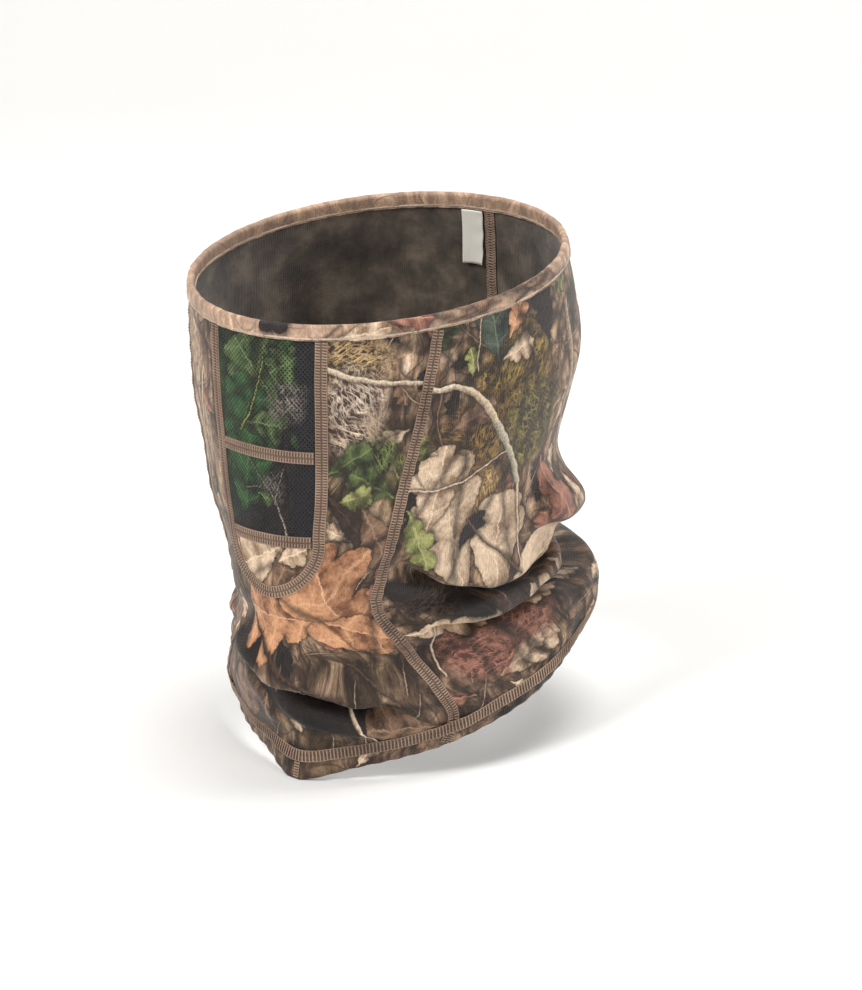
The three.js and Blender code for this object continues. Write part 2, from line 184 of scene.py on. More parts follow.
def distance_to(path, turn, drop):
    """Distance over the cloth, in millimetres, from a line of (turn, drop) points, and the share along it."""
    x, y = wrapped(turn) * AROUND, np.asarray(drop, float)
    points = np.array([(t * AROUND, d) for t, d in path])
    steps = np.linalg.norm(np.diff(points, axis=0), axis=1)
    starts = np.concatenate([[0], np.cumsum(steps)])
    best, share = np.full(np.broadcast(x, y).shape, 1e9), 0.0
    for k, (a, b) in enumerate(zip(points[:-1], points[1:])):
        ax, ay = b - a
        t = np.clip(((x - a[0]) * ax + (y - a[1]) * ay) / steps[k] ** 2, 0, 1)
        gap = np.hypot(x - a[0] - t * ax, y - a[1] - t * ay)
        share = np.where(gap < best, (starts[k] + t * steps[k]) / starts[-1], share)
        best = np.minimum(gap, best)
    return best, share


# Folds of the worn cloth: a line of (turn, drop), how far it stands out (or in), half its breadth,
# and how far it hangs down.
FOLDS = (
    # wearer's left: the cloth stands off behind the jaw, and the jaw overhangs the neck
    (((98, 102), (112, 111), (130, 114)), 8.5, 9.0, 3.0),
    (((52, 104), (64, 119), (80, 130), (102, 134), (126, 130)), 3.5, 7.0, 7.0),
    (((44, 108), (54, 120), (66, 134), (82, 145), (102, 150), (126, 148)), -10.0, 4.2, 0),
    # the plump roll under the jaw, and the crease below it
    (((54, 144), (70, 155), (90, 158), (112, 156), (130, 152)), 5.5, 5.0, 3.5),
    (((50, 152), (64, 164), (86, 172), (110, 174), (136, 173)), -8.5, 3.2, 0),
    (((58, 172), (84, 182), (112, 184)), 3.0, 6.0, 1.0),
    # the throat cloth lies over the collar in front
    (((-36, 146), (-14, 154), (6, 168), (22, 180), (40, 190)), 6.5, 6.0, 8.0),
    (((-26, 164), (-8, 175), (10, 187), (26, 194), (40, 200)), -11.0, 3.6, 0),
    (((-10, 186), (6, 196), (24, 203), (38, 206)), 3.5, 4.0, 1.5),
    (((-30, 176), (-16, 190), (-4, 203)), 2.5, 4.5, 0),
    # mouth corner to jaw
    (((24, 84), (34, 98), (44, 114)), 2.0, 7.0, 0),
    (((30, 112), (38, 124), (44, 138)), -2.0, 5.0, 0),
    # the wearer's right: the same rolls, less deep
    (((-50, 112), (-70, 126), (-98, 134), (-130, 130)), 3.0, 7.0, 2.0),
    (((-50, 118), (-70, 138), (-98, 147), (-130, 146)), -6.0, 5.0, 0),
    (((-52, 146), (-78, 158), (-110, 160)), 4.0, 5.0, 3.0),
    (((-52, 160), (-74, 172), (-104, 178), (-136, 176)), -5.0, 4.5, 0),
    (((-60, 96), (-76, 88), (-88, 74)), 4.0, 12.0, 0),
    # nape
    (((146, 118), (180, 124), (214, 118)), 3.0, 8.0, 1.5),
    (((140, 140), (180, 148), (220, 140)), -3.0, 5.0, 0),
)


def waves(turn, drop, seed, length, count=14, stretch=1.0):
    """A gentle random relief of unit height, from waves about as long as length."""
    draw = np.random.default_rng(seed)
    x, y = wrapped(turn) * DEGREE, np.asarray(drop, float)
    total = 0.0
    for _ in range(count):
        size = length * draw.uniform(0.7, 1.5)
        way = draw.uniform(0, math.pi)
        round_head = max(1, round(360 * AROUND * abs(math.cos(way)) / size / stretch))
        down = math.sin(way) * 2 * math.pi / size
        total = total + np.sin(round_head * x + down * y + draw.uniform(0, 2 * math.pi))
    return total / math.sqrt(count / 2)


# Small relief of the worn cloth, as heights and lengths: slow waves, and shorter ones in the neck.
SLOW_HEIGHT, SLOW_LENGTH, NECK_HEIGHT, NECK_LENGTH = 0.35, 46, 0.32, 17
# The hem stands proud, is drawn in by its stitches, and scallops below them.
HEM_PROUD, HEM_DRAWN, SCALLOP, SCALLOP_LENGTH = 0.35, 0.5, 0.3, 9.0
# How far to each side a seam draws the cloth; and how deep, how high its puckers are and how long.
DRAWN_REACH = 6.5
SIDE_PUCKERS, BACK_PUCKERS = (0.25, 0.22, 7.5), (0.3, 0.22, 8.2)


def worn(turn, drop):
    """The outer face of the cloth as worn, in millimetres, with its folds and puckers."""
    turn, drop = np.broadcast_arrays(np.asarray(turn, float), np.asarray(drop, float))
    spot = form(turn, drop)
    out = normals_of(form, turn, drop)
    push, fall = np.zeros(drop.shape), np.zeros(drop.shape)
    for path, height, breadth, hang in FOLDS:
        gap, share = distance_to(path, turn, drop)
        ends = np.clip(np.minimum(share, 1 - share) * 5, 0, 1)
        shape = np.exp(-((gap / breadth) ** 2)) * ends * ends * (3 - 2 * ends)
        push += height * shape
        fall += hang * shape
    settle = np.clip((drop - 12) / 30, 0, 1)
    neck = np.clip((drop - 120) / 30, 0, 1) * np.clip((BOTTOM - drop) / 16, 0.25, 1)
    push += waves(turn, drop, 3, SLOW_LENGTH) * SLOW_HEIGHT * settle
    push += waves(turn, drop, 8, NECK_LENGTH, stretch=1.6) * NECK_HEIGHT * neck
    hem = np.clip((drop - HEM_TOP) / 2, 0, 1)
    push += HEM_PROUD * hem - HEM_DRAWN * np.exp(-(((drop - HEM_STITCH) / 2.6) ** 2))
    scallops = np.sin(turn * AROUND * 2 * math.pi / SCALLOP_LENGTH)
    push += SCALLOP * scallops * np.clip((drop - HEM_STITCH) / 8, 0, 1)
    to_left, to_right, to_back = (
        np.abs(wrapped(turn - seam)) for seam in (side_seam(drop), -side_seam(drop), BACK_SEAM)
    )
    puckered = ((np.minimum(to_left, to_right), SIDE_PUCKERS), (to_back, BACK_PUCKERS))
    for away, (drawn, height, length) in puckered:
        near = np.exp(-((away * AROUND / DRAWN_REACH) ** 2))
        push += near * (height * np.sin(drop * 2 * math.pi / length) - drawn)
    spot = spot + out * push[..., None]
    spot[..., 2] -= fall
    return spot


def lifted(turn, drop, offset):
    """A point over (or, negative, under) the outer face of the cloth, in millimetres."""
    turn, drop, offset = np.broadcast_arrays(
        np.asarray(turn, float), np.asarray(drop, float), np.asarray(offset, float)
    )
    return worn(turn, drop) + normals_of(worn, turn, drop) * offset[..., None]


def window_half(drop, grow=0.0):
    """Half the window's width, with its outline moved outwards by grow."""
    start = WINDOW_SIDES[-1][0]
    fall = np.clip((drop - start) / (WINDOW_BOTTOM + grow - start), 0, 1)
    return (window_side(drop) + grow) * np.sqrt(1 - fall**2)


def turn_at(x, drop):
    """The turn at which the plain shape is a distance x from the middle plane."""
    x, drop = np.broadcast_arrays(np.asarray(x, float), np.asarray(drop, float))
    low, high = np.zeros(x.shape), np.full(x.shape, 85.0)
    for _ in range(30):
        middle = (low + high) / 2
        short = form(middle, drop)[..., 0] < x
        low, high = np.where(short, middle, low), np.where(short, high, middle)
    return np.where(x <= 0, 0.0, (low + high) / 2)


def window_turn(drop, grow=0.0):
    """The turn of the window's left outline, moved outwards by grow."""
    return turn_at(window_half(np.asarray(drop, float), grow), drop)


# ---- Meshes ----


def spread(start, end, step, extra=()):
    """Numbers from start to end, no further apart than step, with the extra ones among them."""
    count = max(1, math.ceil((end - start) / step - 1e-6))
    found = sorted({*np.linspace(start, end, count + 1).tolist(), *extra})
    return np.array([v for k, v in enumerate(found) if k == 0 or v - found[k - 1] > 0.05])


class Patch:
    """Quads over the cloth, each corner a (turn, drop), seen from outside."""

    def __init__(self):
        self.quads = []

    def rows(self, rows, mirrored=False):
        """Adds a grid of rows by columns of (turn, drop), each row lower than the last."""
        grid = np.array(rows, float)
        if mirrored:
            grid = grid[:, ::-1] * (-1, 1)
        corners = (grid[:-1, :-1], grid[1:, :-1], grid[1:, 1:], grid[:-1, 1:])
        self.quads.append(np.stack(corners, 2).reshape(-1, 4, 2))
        return self

    def solid(self, name, outer, inner, face, back):
        """A closed sheet between two offsets from the cloth's outer face, with a material on each side."""
        quads = np.concatenate(self.quads)
        flat = quads.reshape(-1, 2)
        keys = np.round(np.stack([flat[:, 0] % 360, flat[:, 1]], 1), 3)
        keys[keys[:, 0] >= 360, 0] = 0
        _, first, index = np.unique(keys, axis=0, return_index=True, return_inverse=True)
        index = index.reshape(-1, 4)
        turn, drop = flat[first].T
        count = len(first)
        high = lifted(turn, drop, outer(turn, drop))
        low = lifted(turn, drop, inner(turn, drop))
        polygons, corners, sides = [], [], []
        edges = {}
        for quad, spots in zip(index.tolist(), quads.tolist()):
            kept = [k for k in range(4) if quad[k] != quad[k - 1]]
            if len(kept) < 3:
                continue
            loop, where = [quad[k] for k in kept], [spots[k] for k in kept]
            polygons.append(loop)
            corners.append(where)
            sides.append(0)
            polygons.append([count + v for v in reversed(loop)])
            corners.append(where[::-1])
            sides.append(1)
            for k, v in enumerate(loop):
                edges[(loop[k - 1], v)] = (where[k - 1], where[k])
        for (a, b), (from_a, to_b) in list(edges.items()):
            if (b, a) not in edges:
                polygons.append([b, a, count + a, count + b])
                corners.append([to_b, from_a, from_a, to_b])
                sides.append(0)
        points = np.concatenate([high, low]) * MM
        spots = [spot for where in corners for spot in where]
        sides_by_corner = [side for side, where in zip(sides, corners) for _ in where]
        made = mesh_object(name, points, polygons, [face, back])
        made.data.polygons.foreach_set("material_index", np.array(sides, np.int32))
        add_maps(made, np.array(spots), np.array(sides_by_corner))
        return made


def add_maps(made, spots, sides):
    """The cloth map, in metres over the flat cloth, and a map of the same places for baking."""
    cloth = np.stack([spots[:, 0] * AROUND, -spots[:, 1]], 1) * MM
    low, high = cloth.min(0), cloth.max(0)
    flat = (cloth - low) / np.maximum(high - low, 1e-6) * (0.48, 0.98) + (0.01, 0.01)
    flat[:, 0] += 0.5 * sides
    for name, values in (("cloth", cloth), ("OFBake", flat)):
        made.data.uv_layers.new(name=name).data.foreach_set("uv", values.astype(np.float32).ravel())
    made.data.uv_layers["cloth"].active_render = True


def mesh_object(name, points, polygons, materials):
    """A smooth-shaded mesh in the scene, its points in metres."""
    mesh = bpy.data.meshes.new(name)
    mesh.from_pydata(np.asarray(points).tolist(), [], [list(map(int, p)) for p in polygons])
    mesh.polygons.foreach_set("use_smooth", np.ones(len(mesh.polygons), bool))
    for material in materials:
        mesh.materials.append(material)
    mesh.update()
    made = bpy.data.objects.new(name, mesh)
    bpy.context.scene.collection.objects.link(made)
    return made


def level(value):
    """The same offset everywhere."""
    return lambda turn, drop: np.full(np.shape(turn), float(value))


# ---- Seams, thread by thread ----


def along_cloth(path, step):
    """A path of (turn, drop) resampled every step millimetres of cloth."""
    path = np.array(path, float)
    points = form(path[:, 0], path[:, 1])
    length = np.concatenate([[0], np.cumsum(np.linalg.norm(np.diff(points, axis=0), axis=1))])
    count = max(2, round(length[-1] / step))
    at = np.linspace(0, length[-1], count + 1)
    return np.stack([np.interp(at, length, path[:, k]) for k in (0, 1)], 1)


def per_millimetre(path):
    """How turn and drop change with a millimetre across a path, and with a millimetre along it."""
    turn, drop = path.T
    step = 0.3
    along = (form(turn + step, drop) - form(turn - step, drop)) / (2 * step)
    low, high = np.maximum(drop - step, 0), np.minimum(drop + step, BOTTOM)
    down = (form(turn, high) - form(turn, low)) / (high - low)[:, None]
    points = form(turn, drop)
    ahead = np.gradient(points, axis=0)
    if np.linalg.norm(points[0] - points[-1]) < step:
        ahead[0] = ahead[-1] = points[1] - points[-2]
    aa, ad, dd = (along * along).sum(1), (along * down).sum(1), (down * down).sum(1)
    scale = aa * dd - ad * ad
    found = []
    for way in (np.cross(np.cross(down, along), ahead), ahead):
        way = way / np.linalg.norm(way, axis=1, keepdims=True)
        wa, wd = (way * along).sum(1), (way * down).sum(1)
        found.append(np.stack([(wa * dd - wd * ad) / scale, (wd * aa - wa * ad) / scale], 1))
    return found


class Threads:
    """Lengths of thread laid along a seam, on the face of the cloth (side 1) or inside it (side -1)."""

    def __init__(self, path, pitch, base, side=1):
        self.path = along_cloth(path, pitch)
        self.across, self.ahead = per_millimetre(self.path)
        self.pitch, self.base, self.side = pitch, base, side
        self.points, self.polygons, self.count, self.bed = [], [], 0, 0

    def place(self, index, across, ahead, height):
        """Points beside the path's points, lifted off the cloth, and the directions away from it."""
        index, across, ahead, height = np.broadcast_arrays(index, across, ahead, height)
        spots = self.path[index] + self.across[index] * across[..., None]
        spots = spots + self.ahead[index] * ahead[..., None]
        turn, drop = spots[..., 0], np.clip(spots[..., 1], 0, BOTTOM - 0.2)
        out = normals_of(worn, turn, drop) * self.side
        return worn(turn, drop) + out * (self.base(turn, drop) + height)[..., None], out

    def tubes(self, placed, radius, sides=6, flatten=0.8):
        """One closed tube for each row of places; the radius may vary along a row."""
        centres, out = placed
        rows, count = centres.shape[:2]
        radius = np.broadcast_to(radius, (rows, count))[..., None, None]
        ahead = np.gradient(centres, axis=1)
        ahead /= np.maximum(np.linalg.norm(ahead, axis=-1, keepdims=True), 1e-9)
        side = np.cross(ahead, out)
        side /= np.maximum(np.linalg.norm(side, axis=-1, keepdims=True), 1e-9)
        out = np.cross(side, ahead)
        angle = (np.arange(sides) * 2 * math.pi / sides)[:, None]
        ring_points = centres[:, :, None] + radius * (
            side[:, :, None] * np.cos(angle) + out[:, :, None] * np.sin(angle) * flatten
        )
        block = np.arange(rows * count * sides).reshape(rows, count, sides) + self.count
        self.points.append(ring_points.reshape(-1, 3))
        self.count += rows * count * sides
        turned = np.roll(block, -1, axis=2)
        quads = np.stack([block[:, :-1], block[:, 1:], turned[:, 1:], turned[:, :-1]], -1)
        self.polygons += quads.reshape(-1, 4)[:, ::-1].tolist()
        self.polygons += block[:, 0].tolist() + block[:, -1, ::-1].tolist()

    def bars(self, start, end, radius, height, arch=0.15, slant=0.0):
        """Cross threads, one at each stitch, from start to end across the seam."""
        index = np.arange(len(self.path) - 1)[:, None]
        share = np.linspace(0, 1, 5)[None, :]
        across = start + (end - start) * share
        ahead = self.pitch * (0.5 + slant * (share - 0.5))
        lift = height + arch * np.sin(math.pi * share)
        self.tubes(self.place(index, across, ahead, lift), radius)

    def rows(self, places, radius, height, dip=0.2):
        """Running threads along the seam, which go down at each needle hole."""
        at = np.arange(0, len(self.path) - 1, 0.25)
        whole = at.astype(int)
        sunk = np.abs(np.sin(math.pi * at))
        for across in places:
            placed = self.place(whole, across, (at - whole) * self.pitch, height - dip * (1 - sunk))
            centres, out = placed
            self.tubes((centres[None], out[None]), radius * (0.7 + 0.3 * sunk[None]))

    def strip(self, half, thickness):
        """The flat bed of thread under the stitches, rounded at its edges."""
        index = np.arange(len(self.path))[:, None]
        share = np.array([-1, -0.93, -0.5, -0.04, 0, 0.04, 0.5, 0.93, 1])[None, :]
        crown = np.array([0, 0.8, 1, 0.9, 0.35, 0.9, 1, 0.8, 0])[None, :]
        top, _ = self.place(index, share * half, 0.0, crown * thickness)
        low, _ = self.place(index, share * half, 0.0, -0.02)
        rows, width = top.shape[:2]
        grid = np.arange(rows * width).reshape(rows, width)
        upper, lower = grid + self.count, grid + self.count + rows * width
        self.points += [top.reshape(-1, 3), low.reshape(-1, 3)]
        self.count += 2 * rows * width
        found = []
        for block, turned in ((upper, 1), (lower, -1)):
            quads = np.stack([block[:-1, :-1], block[1:, :-1], block[1:, 1:], block[:-1, 1:]], -1)
            found.append(quads.reshape(-1, 4)[:, ::turned])
        border = np.concatenate([grid[:-1, 0], grid[-1, :-1], grid[:0:-1, -1], grid[0, :0:-1]])
        after = np.roll(border, -1)
        a, b = border + self.count - 2 * rows * width, after + self.count - 2 * rows * width
        found.append(np.stack([b, a, a + rows * width, b + rows * width], -1))
        quads = np.concatenate(found)
        self.polygons += (quads[:, ::-1] if self.side > 0 else quads).tolist()
        self.bed = len(self.polygons)

    def piece(self, name, material, bed):
        """The stitches in one mesh; the bed is laid first, and has its own material."""
        made = mesh_object(name, np.concatenate(self.points) * MM, self.polygons, [material, bed])
        index = (np.arange(len(self.polygons)) < self.bed).astype(np.int32)
        made.data.polygons.foreach_set("material_index", index)
        made.data.set_sharp_from_angle(angle=80 * DEGREE)
        return made


# ---- Nodes and colours ----


def linear(code):
    """A colour from its sRGB hex value."""
    parts = [int(code[k : k + 2], 16) / 255 for k in (1, 3, 5)]
    return [p / 12.92 if p <= 0.04045 else ((p + 0.055) / 1.055) ** 2.4 for p in parts] + [1.0]


def node(tree, kind, *inputs, stops=(), **settings):
    """Adds a node with its settings, and fills its inputs in order, each with a value or a link.

    The stops are a colour ramp's, each a place and a hex value. Gives the node's outputs.
    """
    made = tree.nodes.new(kind)
    for key, value in settings.items():
        setattr(made, key, value)
    for _ in stops[2:]:
        made.color_ramp.elements.new(0.5)
    for k, (place, code) in enumerate(stops):
        element = made.color_ramp.elements[k]
        element.position = place
        element.color = linear(code)
    for socket, value in zip(made.inputs, inputs):
        if isinstance(value, bpy.types.NodeSocket):
            tree.links.new(value, socket)
        elif value is not None:
            socket.default_value = value
    return made.outputs


MATH, VECTOR, MIX = "ShaderNodeMath", "ShaderNodeVectorMath", "ShaderNodeMixRGB"
RANGE, NOISE, GROUP = "ShaderNodeMapRange", "ShaderNodeTexNoise", "ShaderNodeGroup"
RAMP, SPLIT, BUMP = "ShaderNodeValToRGB", "ShaderNodeSeparateXYZ", "ShaderNodeBump"
TURN, CELLS, CHANNELS = "ShaderNodeVectorRotate", "ShaderNodeTexVoronoi", "ShaderNodeSeparateColor"


def layer_group(name, sockets):
    """A layer of the print: a node group that takes the colour under it and the place on the cloth.

    Each further socket is a name, a kind and a default. Gives the tree, its inputs and the place to draw at.
    The colour under it moves that place by next to nothing, but makes the layers wait for each other, so that
    few values are held at once.
    """
    tree = bpy.data.node_groups.new(name, "ShaderNodeTree")
    ground = linear("#8c765c")
    for label, kind, default in (("Under", "Color", ground), ("Where", "Vector", None), *sockets):
        made = tree.interface.new_socket(label, in_out="INPUT", socket_type="NodeSocket" + kind)
        if default is not None:
            made.default_value = default
    tree.interface.new_socket("Colour", in_out="OUTPUT", socket_type="NodeSocketColor")
    given = node(tree, "NodeGroupInput")
    almost_none = (1e-6, 1e-6, 1e-6)
    where = node(tree, VECTOR, given["Under"], almost_none, given["Where"], operation="MULTIPLY_ADD")[0]
    return tree, given, where


def leaf_print():
    """One printed leaf: a lobed blade with its midrib and side veins, over a soft shadow."""
    sockets = [
        ("Place", "Vector", None), ("Turn", "Float", 0.0), ("Length", "Float", 40.0), ("Width", "Float", 0.3),
        ("Lobes", "Float", 4.0), ("Depth", "Float", 0.5), ("Blade", "Color", linear("#b5a688")),
        ("Dark", "Color", linear("#6d5a40")), ("Vein", "Color", linear("#d8ccb0")),
    ]
    t, given, where = layer_group("printed leaf", sockets)
    length = given["Length"]
    away = node(t, VECTOR, where, given["Place"], operation="SUBTRACT")[0]
    ragged = node(t, NOISE, where, None, 0.22, 3.0, 0.6)["Color"]
    ragged = node(t, VECTOR, ragged, (0.5, 0.5, 0.5), operation="SUBTRACT")[0]
    away = node(t, VECTOR, ragged, (4.5, 4.5, 0.0), away, operation="MULTIPLY_ADD")[0]
    back = node(t, MATH, given["Turn"], -1.0, operation="MULTIPLY")[0]
    lay = node(t, TURN, away, None, None, back, rotation_type="Z_AXIS")[0]
    split = node(t, SPLIT, lay)
    share = node(t, MATH, split[0], length, operation="DIVIDE")[0]
    share = node(t, MATH, share, 0.5, operation="ADD")[0]
    aside = node(t, MATH, split[1], length, operation="DIVIDE")[0]
    aside = node(t, MATH, aside, operation="ABSOLUTE")[0]
    swept = node(t, MATH, aside, -0.55, share, operation="MULTIPLY_ADD")[0]
    held = node(t, RANGE, swept, -0.12, 1.0, 0.0, 1.0)[0]
    arc = node(t, MATH, held, 1.25, operation="POWER")[0]
    arc = node(t, MATH, arc, math.pi, operation="MULTIPLY")[0]
    arc = node(t, MATH, arc, operation="SINE")[0]
    arc = node(t, MATH, arc, 0.75, operation="POWER")[0]
    full = node(t, MATH, arc, given["Width"], operation="MULTIPLY")[0]
    beat = node(t, MATH, swept, given["Lobes"], operation="MULTIPLY")[0]
    beat = node(t, MATH, beat, math.pi, operation="MULTIPLY")[0]
    beat = node(t, MATH, beat, operation="SINE")[0]
    beat = node(t, MATH, beat, operation="ABSOLUTE")[0]
    lobe = node(t, MATH, beat, 0.55, operation="POWER")[0]
    cut = node(t, MATH, 1.0, given["Depth"], operation="SUBTRACT")[0]
    cut = node(t, MATH, lobe, given["Depth"], cut, operation="MULTIPLY_ADD")[0]
    half = node(t, MATH, full, cut, operation="MULTIPLY")[0]
    inside = node(t, MATH, half, aside, operation="SUBTRACT")[0]
    inside = node(t, MATH, inside, length, operation="MULTIPLY")[0]
    cover = node(t, RANGE, inside, -0.1, 0.45, 0.0, 1.0)[0]
    shadow = node(t, RANGE, inside, -3.2, 0.2, 0.0, 0.78)[0]
    rim = node(t, RANGE, inside, 0.2, 1.4, 0.45, 0.0)[0]
    rib = node(t, MATH, aside, length, operation="MULTIPLY")[0]
    rib = node(t, RANGE, rib, 0.15, 0.6, 0.75, 0.0)[0]
    side_vein = node(t, RANGE, beat, 0.985, 0.999, 0.0, 0.4)[0]
    vein = node(t, MATH, rib, side_vein, operation="MAXIMUM")[0]
    mottle = node(t, NOISE, where, None, 0.16, 6.0, 0.7)[0]
    pleat = node(t, MATH, beat, 0.16, mottle, operation="MULTIPLY_ADD")[0]
    lit = node(t, RANGE, split[1], -1.0, 1.0, -0.06, 0.06)[0]
    pleat = node(t, MATH, pleat, lit, operation="ADD")[0]
    tone = node(t, RANGE, pleat, 0.42, 0.76, 0.0, 1.0)[0]
    blade = node(t, MIX, tone, given["Dark"], given["Blade"])[0]
    blade = node(t, MIX, vein, blade, given["Vein"])[0]
    blade = node(t, MIX, rim, blade, given["Dark"])[0]
    under = node(t, MIX, shadow, given["Under"], linear("#1d1612"))[0]
    node(t, "NodeGroupOutput", node(t, MIX, cover, under, blade)[0])
    return t


def twig_print():
    """One printed stretch of branch, lighter along its upper side, over a thin shadow."""
    sockets = [
        ("From", "Vector", None), ("To", "Vector", None),
        ("Start", "Float", 1.5), ("End", "Float", 0.8), ("Bend", "Float", 0.0),
        ("Bark", "Color", linear("#c9bda2")), ("Dark", "Color", linear("#6a5a4a")),
    ]
    t, given, where = layer_group("printed twig", sockets)
    wander = node(t, NOISE, where, None, 0.07, 4.0, 0.6)["Color"]
    wander = node(t, VECTOR, wander, (0.5, 0.5, 0.5), operation="SUBTRACT")[0]
    spot = node(t, VECTOR, wander, (5.0, 5.0, 0.0), where, operation="MULTIPLY_ADD")[0]
    run = node(t, VECTOR, given["To"], given["From"], operation="SUBTRACT")[0]
    reach = node(t, VECTOR, run, operation="LENGTH")["Value"]
    run = node(t, VECTOR, run, operation="NORMALIZE")[0]
    away = node(t, VECTOR, spot, given["From"], operation="SUBTRACT")[0]
    along = node(t, VECTOR, away, run, operation="DOT_PRODUCT")["Value"]
    share = node(t, MATH, along, reach, operation="DIVIDE")[0]
    across = node(t, VECTOR, run, away, operation="CROSS_PRODUCT")[0]
    across = node(t, SPLIT, across)[2]
    rest = node(t, MATH, 1.0, share, operation="SUBTRACT")[0]
    bow = node(t, MATH, rest, share, operation="MULTIPLY")[0]
    bow = node(t, MATH, bow, given["Bend"], operation="MULTIPLY")[0]
    across = node(t, MATH, bow, 4.0, across, operation="MULTIPLY_ADD")[0]
    half = node(t, RANGE, share, 0.0, 1.0, given["Start"], given["End"])[0]
    gap = node(t, MATH, across, operation="ABSOLUTE")[0]
    inside = node(t, MATH, half, gap, operation="SUBTRACT")[0]
    middle = node(t, MATH, share, 0.5, operation="SUBTRACT")[0]
    middle = node(t, MATH, middle, operation="ABSOLUTE")[0]
    ends = node(t, RANGE, middle, 0.5, 0.52, 1.0, 0.0)[0]
    cover = node(t, RANGE, inside, -0.1, 0.4, 0.0, 1.0)[0]
    cover = node(t, MATH, cover, ends, operation="MULTIPLY")[0]
    shadow = node(t, RANGE, inside, -1.5, 0.0, 0.0, 0.6)[0]
    shadow = node(t, MATH, shadow, ends, operation="MULTIPLY")[0]
    bulge = node(t, MATH, across, half, operation="DIVIDE")[0]
    grain = node(t, NOISE, where, None, 0.7, 3.0, 0.6)[0]
    bulge = node(t, MATH, grain, 3.2, bulge, operation="MULTIPLY_ADD")[0]
    light = node(t, RANGE, bulge, 0.7, 2.5, 0.0, 1.0)[0]
    bark = node(t, MIX, light, given["Dark"], given["Bark"])[0]
    under = node(t, MIX, shadow, given["Under"], linear("#241a15"))[0]
    node(t, "NodeGroupOutput", node(t, MIX, cover, under, bark)[0])
    return t


def blades_print():
    """A patch of printed grass: thin strokes in three lays, each at its own slant and wandering a little."""
    sockets = [
        ("Place", "Vector", None), ("Turn", "Float", 0.0), ("Reach", "Float", 20.0),
        ("Blade", "Color", linear("#a89a4e")), ("Dark", "Color", linear("#2e2619")),
    ]
    t, given, where = layer_group("printed grass", sockets)
    away = node(t, VECTOR, where, given["Place"], operation="SUBTRACT")[0]
    far = node(t, VECTOR, away, operation="LENGTH")["Value"]
    rough = node(t, NOISE, where, None, 0.09, 3.0, 0.6)[0]
    far = node(t, MATH, rough, -18.0, far, operation="MULTIPLY_ADD")[0]
    far = node(t, MATH, far, 9.0, operation="ADD")[0]
    patch = node(t, MATH, given["Reach"], far, operation="SUBTRACT")[0]
    patch = node(t, RANGE, patch, -2.0, 6.0, 0.0, 1.0)[0]
    ink = given["Dark"]
    clump = node(t, NOISE, where, None, 0.3, 2.0, 0.6)[0]
    for turned, pitch, bright in ((0.0, 1.1, 0.5), (0.5, 0.8, 0.75), (-0.25, 0.9, 1.0)):
        lean = node(t, MATH, rough, 1.8, given["Turn"], operation="MULTIPLY_ADD")[0]
        lean = node(t, MATH, lean, turned - 0.9, operation="ADD")[0]
        lay = node(t, TURN, away, None, None, lean, rotation_type="Z_AXIS")[0]
        lay = node(t, VECTOR, lay, (0.055, pitch, 1.0), operation="MULTIPLY")[0]
        lay = node(t, VECTOR, lay, (0.0, 7.0 * turned, 0.0), operation="ADD")[0]
        stroke = node(t, NOISE, lay, None, 1.0, 2.0, 0.6)[0]
        stroke = node(t, MATH, clump, 0.4, stroke, operation="MULTIPLY_ADD")[0]
        crisp = node(t, RANGE, stroke, 0.7, 0.76, 0.0, 1.0)[0]
        body = node(t, RANGE, stroke, 0.7, 0.92, 0.3 * bright, bright)[0]
        blade = node(t, MIX, body, given["Dark"], given["Blade"])[0]
        ink = node(t, MIX, crisp, ink, blade)[0]
    under = node(t, MIX, patch, given["Under"], ink)[0]
    node(t, "NodeGroupOutput", under)
    return t


def cloth_place(tree):
    """Where a point lies on the flat cloth, in millimetres: round the head, and down."""
    flat = node(tree, "ShaderNodeUVMap", uv_map="cloth")[0]
    return node(tree, VECTOR, flat, (1 / MM, 1 / MM, 0.0), operation="MULTIPLY")[0]


